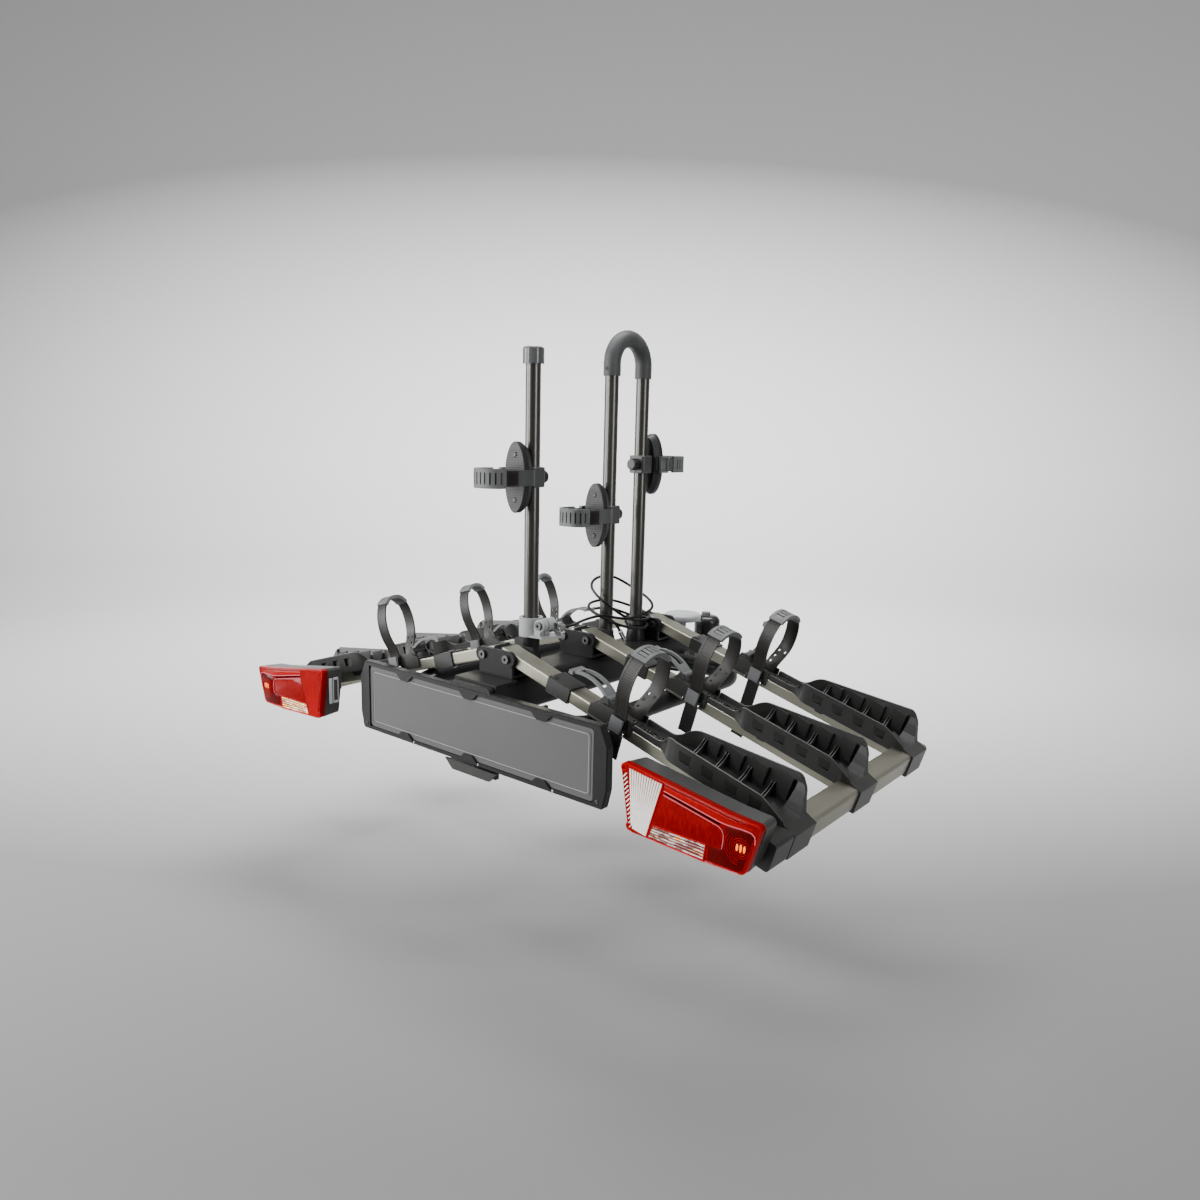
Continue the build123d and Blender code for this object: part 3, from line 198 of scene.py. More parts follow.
def pad_plastic(name, color, faces):
    """Grip pads: the front faces of the ribs painted lighter as painted light, and the sides and the cup
    painted darker as painted shade.
    """
    f = Finish(name)
    y = f.axes()[1]
    reach = 0.0006
    # Mask of the pad's front faces: painted light there, painted shade on the sides and round the cup.
    face = y.near(faces[0], reach) + y.near(faces[1], reach) + y.near(faces[2], reach)
    speckle = f.noise(700.0, 2.0)
    tone = f.mix(face, shade(color, 0.4), f.mix(speckle, shade(color, 0.9), shade(color, 1.2)))
    f.base(tone, speckle * 0.1 + 0.42, specular=0.3)
    f.bump(speckle, 0.15, 0.0001)
    return f.material


def powder_coat(name, color):
    f = Finish(name)
    pebble = f.noise(1400.0, 2.0)
    cloud = f.noise(5.0, 3.0)
    tone = f.mix(cloud, shade(color, 0.8), shade(color, 1.25))
    f.base(tone, cloud * 0.12 + 0.32, specular=0.16)
    f.bump(pebble, 0.2, 0.0002)
    return f.material


def anodised(name, color, stretch, roughness=0.33, metallic=0.85, coat=0.0):
    f = Finish(name)
    drawn = f.noise(60.0, 4.0, stretch)
    cloud = f.noise(4.0, 3.0)
    tone = f.mix(drawn, shade(color, 0.84), shade(color, 1.16))
    f.base(tone, cloud * 0.08 + drawn * 0.08 + (roughness - 0.08), metallic, coat)
    f.bump(drawn, 0.04, 0.0003)
    return f.material


def plated(name, color, roughness=0.28):
    f = Finish(name)
    stain = f.noise(220.0, 4.0)
    tone = f.mix(stain, shade(color, 0.7), shade(color, 1.15))
    f.base(tone, f.ramp(stain, (0.3, roughness), (0.8, roughness + 0.2)), 1.0)
    f.bump(stain, 0.05, 0.0003)
    return f.material


def soft_rubber(name, color, roughness=0.5):
    f = Finish(name)
    dust = f.noise(30.0, 5.0)
    skin = f.noise(1600.0, 2.0)
    tone = f.mix(f.ramp(dust, (0.45, 0.0), (0.8, 1.0)), shade(color, 0.9), shade(color, 1.35))
    f.base(tone, dust * 0.12 + (roughness - 0.06), specular=0.25)
    f.bump(skin, 0.12, 0.0001)
    return f.material


def lamp_plastic(name, color, depth=0.35, glow=0.03):
    """Clear coloured lens with the prisms of its inside showing as fine streaks."""
    f = Finish(name)
    prism = f.noise(260.0, 2.0, (1.0, 1.0, 0.35))
    cloud = f.noise(22.0, 3.0)
    share = f.ramp(prism, (0.35, 0.0), (0.7, 1.0)) * 0.5 + cloud * 0.5
    tone = f.mix(share, shade(color, 1.0 - depth), shade(color, 1.0 + depth))
    f.base(tone, 0.08, 0.0, 0.04, 0.04, 0.06)
    f.glow(tone, glow)
    return f.material


def clear_plastic(name, color, glow=0.1):
    f = Finish(name)
    milk = f.noise(120.0, 3.0)
    tone = f.mix(milk, shade(color, 0.85), shade(color, 1.12))
    f.base(tone, 0.16, 0.0, 0.1, 0.05, 0.2)
    f.glow(tone, glow)
    return f.material


def bulb_window(name, clear, dark, amber, spread):
    """A clear window with the bulb's colour showing in blotches."""
    f = Finish(name)
    blotch = f.noise(75.0, 2.0, (1.0, 1.0, 1.6))
    shadow = f.noise(120.0, 2.0, (0.6, 1.0, 2.2))
    glass = f.mix(f.ramp(shadow, (0.42, 0.0), (0.56, 1.0)), dark, clear)
    tone = f.mix(f.ramp(blotch, (spread, 0.0), (spread + 0.05, 1.0)), glass, amber)
    f.base(tone, 0.12, 0.0, 0.1, 0.04, 0.2)
    f.glow(tone, 0.3)
    f.bump(shadow, 0.2, 0.0006)
    return f.material


def glowing(name, color, strength):
    f = Finish(name)
    flicker = f.noise(300.0, 2.0)
    f.base(f.mix(flicker, shade(color, 0.8), color), 0.2, 0.0, 0.5)
    f.glow(f.mix(flicker, shade(color, 0.85), color), strength)
    return f.material


# Making and placing pieces
def wing_matrix(side):
    return (Matrix.Scale(side, 4, Vector((1, 0, 0))) @ Matrix.Translation(HINGE)
            @ Matrix.Rotation(DROOP, 4, "Y"))


def finished(name, bm, body, material, smooth=35.0, where=None):
    """Closes a bmesh into a piece at the origin that rides on a body."""
    if where is not None:
        bmesh.ops.transform(bm, matrix=where, verts=bm.verts)
    bmesh.ops.remove_doubles(bm, verts=bm.verts, dist=0.00001)
    bmesh.ops.recalc_face_normals(bm, faces=bm.faces)
    mesh = bpy.data.meshes.new(name)
    bm.to_mesh(mesh)
    bm.free()
    piece = bpy.data.objects.new(name, mesh)
    bpy.context.scene.collection.objects.link(piece)
    mesh.materials.append(material)
    mesh.shade_smooth()
    mesh.set_sharp_from_angle(angle=math.radians(smooth))
    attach(piece, body)
    return piece


def bar(bm, low, high, bevel):
    """A block between two corners with its edges rounded."""
    low, high = Vector(low), Vector(high)
    size = high - low
    where = Matrix.Translation((low + high) / 2) @ Matrix.Diagonal((*size, 1.0))
    made = bmesh.ops.create_cube(bm, size=1.0, matrix=where)["verts"]
    edges = {edge for vert in made for edge in vert.link_edges}
    bmesh.ops.bevel(bm, geom=list(edges), offset=bevel, segments=2, profile=0.5, affect="EDGES",
                    material=-1)


def turned(bm, profile, where=Matrix(), steps=32):
    """Spins a profile of (radius, height) points round Z, then places it."""
    verts = [bm.verts.new((radius, 0.0, height)) for radius, height in profile]
    edges = [bm.edges.new(pair) for pair in zip(verts, verts[1:])]
    bmesh.ops.spin(bm, geom=verts + edges, cent=(0, 0, 0), axis=(0, 0, 1),
                   angle=math.tau, steps=steps, use_merge=True)
    made = set(verts)
    border = list(verts)
    while border:
        vert = border.pop()
        for edge in vert.link_edges:
            other = edge.other_vert(vert)
            if other not in made:
                made.add(other)
                border.append(other)
    bmesh.ops.transform(bm, matrix=where, verts=list(made))


def along(axis, place):
    """Turns +Z to an axis and moves to a place."""
    turn = Vector((0, 0, 1)).rotation_difference(Vector(axis)).to_matrix().to_4x4()
    return Matrix.Translation(Vector(place)) @ turn


def curve_along(name, points, kind="NURBS", radius=0.0, roundness=1, resolution=12):
    """A curve over its control points: a bare line, or a round tube with closed ends."""
    curve = bpy.data.curves.new(name, "CURVE")
    curve.dimensions = "3D"
    curve.bevel_depth = radius
    curve.bevel_resolution = roundness
    curve.use_fill_caps = radius > 0
    spline = curve.splines.new(kind)
    spline.points.add(len(points) - 1)
    for target, point in zip(spline.points, points):
        target.co = (*point, 1.0)
    spline.order_u = 3
    spline.use_endpoint_u = True
    spline.resolution_u = resolution
    return curve


def mesh_of(curve):
    """The mesh that a curve makes. The curve itself is removed."""
    guide = bpy.data.objects.new(curve.name, curve)
    mesh = bpy.data.meshes.new_from_object(guide)
    bpy.data.objects.remove(guide)
    bpy.data.curves.remove(curve)
    return mesh


def smooth_line(points, count):
    """Even points along the NURBS line of a few control points."""
    mesh = mesh_of(curve_along("guide", points))
    line = [vert.co.copy() for vert in mesh.vertices]
    bpy.data.meshes.remove(mesh)
    lengths = [0.0]
    for a, b in zip(line, line[1:]):
        lengths.append(lengths[-1] + (b - a).length)
    out = []
    spot = 0
    for k in range(count + 1):
        target = lengths[-1] * k / count
        while spot < len(lengths) - 2 and lengths[spot + 1] < target:
            spot += 1
        run = lengths[spot + 1] - lengths[spot]
        out.append(line[spot].lerp(line[spot + 1], (target - lengths[spot]) / run))
    return out


def mm(*values):
    """Millimetres as metres."""
    return tuple(value * 0.001 for value in values)


def centred(bm, faces, thickness):
    """Gives a sheet its thickness, half to each side."""
    bm.normal_update()
    verts = {vert for face in faces for vert in face.verts}
    for vert in verts:
        vert.co += vert.normal * thickness / 2
    bmesh.ops.solidify(bm, geom=faces, thickness=thickness)


def band(bm, line, across, thickness, offset=0.0):
    """A flat strap along a line, as wide as the vector across and shifted sideways."""
    across = Vector(across)
    sideways = across.normalized() * offset
    verts = [bm.verts.new(point - across / 2 + sideways) for point in line]
    edges = [bm.edges.new(pair) for pair in zip(verts, verts[1:])]
    made = bmesh.ops.extrude_edge_only(bm, edges=edges)["geom"]
    bmesh.ops.translate(bm, vec=across, verts=[g for g in made if isinstance(g, bmesh.types.BMVert)])
    centred(bm, [g for g in made if isinstance(g, bmesh.types.BMFace)], thickness)


def spot_at(line, distance):
    """The point at a distance along a line."""
    for a, b in zip(line, line[1:]):
        step = (b - a).length
        if distance <= step:
            return a.lerp(b, distance / step)
        distance -= step
    return line[-1]


def pierced_band(bm, line, width, length, thickness, rows, holes):
    """The end of a flat strap with round holes, two columns wide, laid along the start of a line."""
    flat = Matrix.Translation((0, length / 2, 0)) @ Matrix.Diagonal((width, length, 1, 1))
    bmesh.ops.create_grid(bm, x_segments=2, y_segments=rows, size=0.5, matrix=flat)
    cells = {}
    for face in bm.faces:
        middle = face.calc_center_median()
        cells[(int(middle.x > 0), int(middle.y / length * rows))] = face
    picked = [cells[hole] for hole in holes]
    bmesh.ops.inset_individual(bm, faces=picked, thickness=width * 0.17, use_even_offset=True)
    corners = {vert for face in picked for vert in face.verts}
    bmesh.ops.bevel(bm, geom=list(corners), offset=width * 0.05, segments=3, profile=0.5,
                    affect="VERTICES", material=-1)
    bored = [face for face in bm.faces if len(face.verts) > 11]
    bmesh.ops.delete(bm, geom=bored, context="FACES_ONLY")
    for vert in bm.verts:
        vert.co = spot_at(line, vert.co.y) + Vector((vert.co.x, 0, 0))
    centred(bm, list(bm.faces), thickness)


def rungs(bm, line, across, spacing, run, width, height):
    """Small blocks set across a line at an even spacing."""
    across = Vector(across).normalized()
    travelled = spacing / 2
    for a, b in zip(line, line[1:]):
        step = (b - a).length
        ahead = (b - a).normalized()
        outward = ahead.cross(across).normalized()
        while travelled < step:
            turn = Matrix((ahead, across, outward)).transposed().to_4x4()
            shape = (Matrix.Translation(a + ahead * travelled) @ turn
                     @ Matrix.Diagonal((run, width, height, 1.0)))
            bmesh.ops.create_cube(bm, size=1.0, matrix=shape)
            travelled += spacing
        travelled -= step


def slab(bm, points, y0, y1, bevel, segments=2):
    """A plate with an outline in X and Z, from y0 to y1, with its front rim rounded."""
    face = bm.faces.new([bm.verts.new((x, y0, z)) for x, z in points])
    made = bmesh.ops.extrude_face_region(bm, geom=[face])["geom"]
    verts = [g for g in made if isinstance(g, bmesh.types.BMVert)]
    bmesh.ops.translate(bm, vec=(0, y1 - y0, 0), verts=verts)
    bmesh.ops.bevel(bm, geom=list(face.edges), offset=bevel, segments=segments, profile=0.5,
                    affect="EDGES", material=-1)


def rounded(points, corner):
    """An outline in X and Z with its corners rounded."""
    bm = bmesh.new()
    bm.faces.new([bm.verts.new((x, 0.0, z)) for x, z in points])
    bmesh.ops.bevel(bm, geom=list(bm.verts), offset=corner, segments=4, profile=0.5, affect="VERTICES",
                    material=-1)
    face = max(bm.faces, key=lambda f: f.calc_area())
    outline = [(vert.co.x, vert.co.z) for vert in face.verts]
    bm.free()
    return outline


def rod(bm, start, end, radius, steps=10):
    """A round bar with softened ends between two points."""
    start, end = Vector(start), Vector(end)
    length = (end - start).length
    turned(bm, [(0, 0), (radius * 0.8, 0), (radius, radius * 0.3), (radius, length - radius * 0.3),
                (radius * 0.8, length), (0, length)], along(end - start, start), steps)


def bead(bm, points, radius):
    """A thin round bead along points."""
    mesh = mesh_of(curve_along("bead", points, "POLY", radius))
    bm.from_mesh(mesh)
    bpy.data.meshes.remove(mesh)


def s_bend(t, start, end):
    """The height of an S of two arcs between two level lines."""
    (t0, low), (t1, high) = start, end
    if t <= t0 or t >= t1:
        return low if t <= t0 else high
    run, climb = t1 - t0, high - low
    radius = (run * run + climb * climb) / (4 * climb)
    near = min(t - t0, t1 - t)
    step = radius - math.sqrt(radius * radius - near * near)
    return low + step if t - t0 < run / 2 else high - step


def frame_ring(bm, points, inset, y0, y1, bevel=0.0):
    """A rim that follows an outline, open in the middle, with its front edges rounded."""
    face = bm.faces.new([bm.verts.new((x, y0, z)) for x, z in points])
    face.normal_update()
    rim = bmesh.ops.inset_region(bm, faces=[face], thickness=inset, use_boundary=True,
                                 use_even_offset=True)["faces"]
    bmesh.ops.delete(bm, geom=[face], context="FACES_ONLY")
    made = bmesh.ops.extrude_face_region(bm, geom=rim)["geom"]
    verts = [g for g in made if isinstance(g, bmesh.types.BMVert)]
    bmesh.ops.translate(bm, vec=(0, y1 - y0, 0), verts=verts)
    if bevel:
        bm.normal_update()
        edges = {edge for near in rim for edge in near.edges
                 if any(abs(wall.normal.y) < 0.5 for wall in edge.link_faces)}
        bmesh.ops.bevel(bm, geom=list(edges), offset=bevel, segments=2, profile=0.5,
                        affect="EDGES", material=-1)


def screw(bm, place, axis, radius, height):
    """A round head with a round recess."""
    turned(bm, [(0, 0), (radius, 0), (radius, height * 0.7), (radius * 0.85, height),
                (radius * 0.5, height), (radius * 0.5, height * 0.45), (0, height * 0.45)],
           along(axis, place), 18)


# Settings that a user would change
class CarrierColors(bpy.types.PropertyGroup):
    plastic: FloatVectorProperty(name="Moulded Black", description="Trays, seats and fittings",
                                 default=(0.025, 0.025, 0.024), size=3, subtype="COLOR", min=0, max=1)
    levers: FloatVectorProperty(name="Lever Grey", description="Levers, blocks and sleeves",
                                default=(0.115, 0.118, 0.12), size=3, subtype="COLOR", min=0, max=1)
    rails: FloatVectorProperty(name="Rail Grey", description="Anodised rails and crossbars",
                               default=(0.31, 0.302, 0.245), size=3, subtype="COLOR", min=0, max=1)
    posts: FloatVectorProperty(name="Post Black", description="Dark anodised posts",
                               default=(0.07, 0.067, 0.062), size=3, subtype="COLOR", min=0, max=1)
    lamp: FloatVectorProperty(name="Lamp Red", description="Clear red of the tail lamps",
                              default=(0.27, 0.0004, 0.0012), size=3, subtype="COLOR", min=0, max=1)


class CarrierSizes(bpy.types.PropertyGroup):
    cable: FloatProperty(name="Cable Diameter", description="Sheath of the coiled lock cable",
                         default=0.0052, min=0.003, max=0.008, unit="LENGTH")
    strap_width: FloatProperty(name="Strap Width", description="Width of a wheel strap",
                               default=0.024, min=0.015, max=0.03, unit="LENGTH")
    strap_thickness: FloatProperty(name="Strap Thickness", description="Thickness of a wheel strap",
                                   default=0.003, min=0.001, max=0.004, unit="LENGTH")


def colors():
    return bpy.context.scene.carrier_colors


def sizes():
    return bpy.context.scene.carrier_sizes


made_finishes = {}


def finish(name):
    """The named finish, made once."""
    if name not in made_finishes:
        c = colors()
        recipes = {
            "tray": lambda: moulded_plastic("Moulded Black", c.plastic, 0.34),
            # The rim bead is painted three times lighter than the tray's black, as a painted highlight
            # along the rims.
            "tray_rim_highlight": lambda: moulded_plastic("Rim Painted Highlight", shade(c.plastic, 3.0), 0.3),
            "lever": lambda: moulded_plastic("Lever Grey", c.levers, 0.42),
            "buckle": lambda: moulded_plastic("Buckle Grey", c.levers, 0.45),
            "block": lambda: moulded_plastic("Block Grey", shade(c.levers, 0.42), 0.4),
            "collar": lambda: polished_plastic("Collar Grey", shade(c.levers, 2.4), 0.34, 0.1),
            "cap": lambda: polished_plastic("Cap Grey", shade(c.levers, 0.7), 0.2),
            "bend": lambda: soft_rubber("Bend Grey", shade(c.levers, 0.52), 0.5),
            # The pad's front faces lie at these depths and are painted lighter as painted light; the sides
            # are painted darker as painted shade.
            "pad": lambda: pad_plastic("Pad Grey", shade(c.levers, 0.3), (-0.4984, -0.2956, -0.1195)),
            "sleeve": lambda: soft_rubber("Sleeve Grey", shade(c.levers, 1.05), 0.5),
            "strap": lambda: soft_rubber("Strap Black", (0.021, 0.02, 0.018), 0.4),
            "cable": lambda: soft_rubber("Cable Sheath", (0.006, 0.006, 0.006), 0.3),
            "frame": lambda: powder_coat("Frame Black", (0.012, 0.012, 0.012)),
            "post": lambda: anodised("Post Black", c.posts, (1.0, 1.0, 0.04), 0.34, 0.8, 0.3),
            "rail": lambda: anodised("Rail Grey", c.rails, (0.05, 1.0, 1.0)),
            "crossbar": lambda: anodised("Crossbar Grey", shade(c.rails, 1.15), (1.0, 0.05, 1.0)),
            "bright": lambda: plated("Bright Steel", (0.75, 0.75, 0.74), 0.14),
            "dark_steel": lambda: plated("Dark Steel", (0.1, 0.1, 0.1), 0.35),
            "gloss": lambda: polished_plastic("Board Black", (0.012, 0.012, 0.012), 0.3, 0.08),
            "plate": lambda: polished_plastic("Plate Grey", (0.085, 0.085, 0.086), 0.45, 0.0),
            # The embossed line is painted much lighter than the plate, as a painted highlight on its raised
            # top.
            "plate_edge_highlight": lambda: polished_plastic("Plate Line Highlight", (0.3, 0.3, 0.3), 0.4, 0.0),
            "red": lambda: lamp_plastic("Lamp Red", shade(c.lamp, 1.2), 0.25),
            "red_shell": lambda: lamp_plastic("Lamp Cover", shade(c.lamp, 0.75), 0.3),
            "red_panel": lambda: lamp_plastic("Lamp Panel", shade(c.lamp, 0.75), 0.4),
            "red_dark": lambda: lamp_plastic("Lamp Field", shade(c.lamp, 0.3), 0.6),
            # Lighter pink: along the ridges a painted highlight, along the sill a pink band.
            "pink_band_and_highlight": lambda: clear_plastic("Lamp Pink Band and Highlight", (0.65, 0.12, 0.15, 1.0)),
            "clear_ribs": lambda: clear_plastic("Reflector Clear", (0.8, 0.75, 0.7, 1.0), 0.2),
            "clear_window": lambda: bulb_window("Indicator Clear", (0.5, 0.46, 0.42, 1),
                                                (0.09, 0.06, 0.05, 1), (0.85, 0.33, 0.04, 1), 0.6),
            "amber_window": lambda: bulb_window("Indicator Lit", (0.85, 0.8, 0.7, 1), (0.4, 0.14, 0.03, 1),
                                                (0.95, 0.5, 0.03, 1), 0.5),
            "window_clear": lambda: clear_plastic("Window Clear", (0.42, 0.43, 0.42, 1.0), 0.05),
            "window_dark": lambda: clear_plastic("Window Dark", (0.05, 0.05, 0.052, 1.0), 0.0),
            "knob": lambda: moulded_plastic("Knob Black", shade(c.plastic, 0.5), 0.4),
            "glow": lambda: glowing("Lamp Glow", (1.0, 0.17, 0.012, 1.0), 1.7),
        }
        made_finishes[name] = recipes[name]()
    return made_finishes[name]


class MakeStep(bpy.types.Operator):
    """One step of finishing the carrier"""

    bl_options = {"REGISTER", "UNDO"}

    @classmethod
    def poll(cls, context):
        return context.scene is not None


class CARRIER_OT_camera(MakeStep):
    """Place the camera at the photograph's viewing angle"""

    bl_idname = "carrier.camera"
    bl_label = "Camera"

    place = (1.05826, -1.56533, 0.46214)
    angles = (39.31, 10.16, 1.34)
    sensor = 36.0
    lens = 27.57

    def execute(self, context):
        yaw, pitch, roll = (math.radians(angle) for angle in self.angles)
        ahead = Vector((-math.sin(yaw), math.cos(yaw), 0.0))
        side = Vector((math.cos(yaw), math.sin(yaw), 0.0))
        up = Vector((0.0, 0.0, 1.0))
        look = ahead * math.cos(pitch) - up * math.sin(pitch)
        crown = up * math.cos(pitch) + ahead * math.sin(pitch)
        right = side * math.cos(roll) + crown * math.sin(roll)
        crown = crown * math.cos(roll) - side * math.sin(roll)
        data = bpy.data.cameras.new("Camera")
        data.sensor_width = self.sensor
        data.lens = self.lens
        camera = bpy.data.objects.new("Camera", data)
        turn = Matrix((right, crown, -look)).transposed().to_4x4()
        camera.matrix_world = Matrix.Translation(self.place) @ turn
        context.scene.collection.objects.link(camera)
        context.scene.camera = camera
        return {"FINISHED"}


class CARRIER_OT_lock_cable(MakeStep):
    """Lay the coiled lock cable round the legs of the loop post"""

    bl_idname = "carrier.lock_cable"
    bl_label = "Lock Cable"

    lead = ((0.024, -0.35, 0.139), (0.0225, -0.3, 0.141), (0.03, -0.268, 0.134), (0.0415, -0.238, 0.127))
    levels = (0.131, 0.2, 0.119, 0.152, 0.104, 0.136, 0.112)
    halves = (0.039, 0.035, 0.033, 0.0355, 0.036, 0.032, 0.027)
    ends = (0.077, 0.075, 0.073, 0.082, 0.0648, 0.071)
    tail = ((0.018, -0.272, 0.131), (0.027, -0.258, 0.121), (0.0275, -0.247, 0.106))
    outlet = (0.045, -0.426, 0.14)
    straight = 0.028
    centre_y = -0.2075
    dip = 0.012
    length = 1.33

    def route(self):
        """The points of the cable's line: its lead, half turns round the legs, and its tail."""
        x, y, z = self.outlet
        points = [self.outlet, (x, y + self.straight, z), *self.lead]
        bow = math.sqrt(0.5)
        for turn, end in enumerate(self.ends):
            side = 1 if turn % 2 == 0 else -1
            half, next_half = self.halves[turn], self.halves[turn + 1]
            level, next_level = self.levels[turn], self.levels[turn + 1]
            radius = (half + next_half) / 2
            run = end - radius
            plan = [(1, 0, 0), (1, run, 0.12), (bow, run + bow * radius, 0.3), (0, end, 0.5),
                    (-bow, run + bow * radius, 0.7), (-1, run, 0.88)]
            if turn == 0:
                plan = plan[1:]
            if turn == len(self.ends) - 1:
                plan = plan[:4]
            for across, out, share in plan:
                px = side * across * (half + (next_half - half) * share)
                pz = level + (next_level - level) * share - self.dip * side * out / end
                points.append((px, self.centre_y + side * out, pz))
        return points + list(self.tail)

    def execute(self, context):
        curve = curve_along("lock_cable_sheath", self.route(), radius=sizes().cable / 2, roundness=5,
                            resolution=10)
        cable = bpy.data.objects.new("lock_cable_sheath", curve)
        context.scene.collection.objects.link(cable)
        curve.materials.append(finish("cable"))
        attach(cable, "chassis")
        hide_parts("lock_cable")
        return {"FINISHED"}


class CARRIER_OT_wheel_straps(MakeStep):
    """Thread the ribbed wheel straps through their buckles and over the wheels"""

    bl_idname = "carrier.wheel_straps"
    bl_label = "Wheel Straps"

    tails = (44, 56, 116)
    over = ((238, -22.4, 10), (238, -23.2, 34), (238.5, -34.5, 60), (240, -36, 92), (242, -27, 119),
            (245, -11.5, 131.6), (248, 11.5, 131.6), (250.5, 27, 119), (252, 35.5, 93), (251, 34, 60),
            (246, 20, 38), (242, 15, 24), (240, 15, 13.2))
    sleeve_z = 0.1205
    pierced = 0.0495
    holes = ((0, 1), (0, 2), (0, 3), (1, 3))

    def execute(self, context):
        width = sizes().strap_width
        thin = sizes().strap_thickness
        across = Vector((width, 0, 0))
        for name, side in SIDES:
            for number, (y, tail) in enumerate(zip(RAIL_YS, self.tails), 1):
                where = wing_matrix(side) @ Matrix.Translation((0, y, 0))
                points = [mm(240, -23.6, -tail), mm(239, -22.4, -tail / 2)]
                points += [mm(*point) for point in self.over]
                line = smooth_line(points, 150)
                tops = [k for k, spot in enumerate(line) if spot.z > self.sleeve_z]
                start, end = tops[0], tops[-1]
                bm = bmesh.new()
                pierced_band(bm, list(reversed(line)), width, self.pierced, thin, 4, self.holes)
                cut = next(k for k in range(end, len(line)) if line[k].z < 0.0555 and line[k].y > 0)
                band(bm, line[:end + 2], across, thin * 0.4)
                band(bm, line[end:cut], across, thin)
                rail = Vector((width * 0.14, 0, 0))
                for edge in (-1, 1):
                    band(bm, line[:start + 2], rail, thin, edge * width * 0.43)
                rungs(bm, line[:start + 2], across, 0.0042, 0.002, width * 0.78, thin)
                finished("%s_wheel_strap_%d" % (name, number), bm, "wing_" + name,
                                       finish("strap"), where=where)
                bm = bmesh.new()
                crown = line[start - 1:end + 2]
                for edge in (-1, 1):
                    band(bm, crown, (0.0058, 0, 0), 0.0058, edge * (width / 2 - 0.0009))
                rungs(bm, crown, across, 0.0068, 0.0048, width - 0.009, 0.005)
                for low in (crown[:4], crown[-4:]):
                    band(bm, low, (width + 0.0036, 0, 0), 0.0062)
                finished("%s_strap_sleeve_%d" % (name, number), bm, "wing_" + name,
                                       finish("sleeve"), where=where)
            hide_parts(name + "_wheel_straps")
        return {"FINISHED"}


class CARRIER_OT_tray_rims(MakeStep):
    """Round the rims of the wheel trays with a fine bead, coloured lighter than the trays as a painted
    highlight
    """

    bl_idname = "carrier.tray_rims"
    bl_label = "Tray Rims"

    floor = 17.7
    draft = math.tan(math.radians(6.0))
    neck = (304, 21)
    near_rim = (344, 46)
    far_rim = (344, 39)
    near_nose = 487
    far_nose = (497, 62)
    neck_half = (308, 18)
    belly_half = (350, 35.5)
    mouth_start = 503
    mouth_radius = 59.3
    start = 264
    ends = ((False, 524), (True, 526))

    def height(self, t, far):
        """How high the rim stands at a place along the rail."""
        start, low = self.far_rim
        nose, high = self.far_nose
        if far and t > start:
            past = max(0, t - nose)
            climb = (min(t, nose) - start) * (high - low) / (nose - start)
            return low + climb + 0.163 * past - 0.0525 * past * past
        if far:
            return s_bend(t, self.neck, self.far_rim)
        past = max(0, t - self.near_nose)
        return s_bend(t, self.neck, self.near_rim) - 0.236 * past - 0.00695 * past * past

    def half(self, t):
        """Half the tray's width at its floor."""
        past = max(0, t - self.mouth_start)
        turned_in = self.mouth_radius - math.sqrt(self.mouth_radius ** 2 - past * past)
        return s_bend(t, self.neck_half, self.belly_half) - turned_in

    def execute(self, context):
        for name, side in SIDES:
            bm = bmesh.new()
            for y in RAIL_YS:
                for far, last in self.ends:
                    points = []
                    for t in range(self.start, last, 3):
                        n = self.height(t, far)
                        out = self.half(t) + 0.7 + (n - self.floor) * self.draft
                        points.append(Vector(mm(t, out if far else -out, n - 0.3)) + Vector((0, y, 0)))
                    bead(bm, points, 0.0009)
            finished(name + "_tray_rims", bm, "wing_" + name, finish("tray_rim_highlight"),
                     where=wing_matrix(side))
        return {"FINISHED"}


class CARRIER_OT_strap_fittings(MakeStep):
    """Add the buckle pins and the screws on the strap seats"""

    bl_idname = "carrier.strap_fittings"
    bl_label = "Strap Fittings"

    def execute(self, context):
        for name, side in SIDES:
            pins = bmesh.new()
            screws = bmesh.new()
            for y in RAIL_YS:
                where = wing_matrix(side) @ Matrix.Translation((0, y, 0))
                for bm, parts in ((pins, self.pins()), (screws, self.screws())):
                    bmesh.ops.transform(parts, matrix=where, verts=parts.verts)
                    mesh = bpy.data.meshes.new("joined")
                    parts.to_mesh(mesh)
                    parts.free()
                    bm.from_mesh(mesh)
                    bpy.data.meshes.remove(mesh)
            finished(name + "_buckle_pins", pins, "wing_" + name, finish("bright"))
            finished(name + "_seat_screws", screws, "wing_" + name, finish("dark_steel"))
        return {"FINISHED"}

    def pins(self):
        bm = bmesh.new()
        for end in (-1, 1):
            turned(bm, [(0, 0), (0.0032, 0), (0.0032, 0.001), (0.0024, 0.0018), (0, 0.0018)],
                   along((end, 0, 0), (BUCKLE_T + end * 0.0154, -0.0278, 0.001)), 20)
        return bm

    def screws(self):
        bm = bmesh.new()
        for t in (0.2492, 0.2775, 0.305):
            screw(bm, (t, 0.0, 0.0128), (0, 0, 1), 0.0048, 0.003)
        return bm


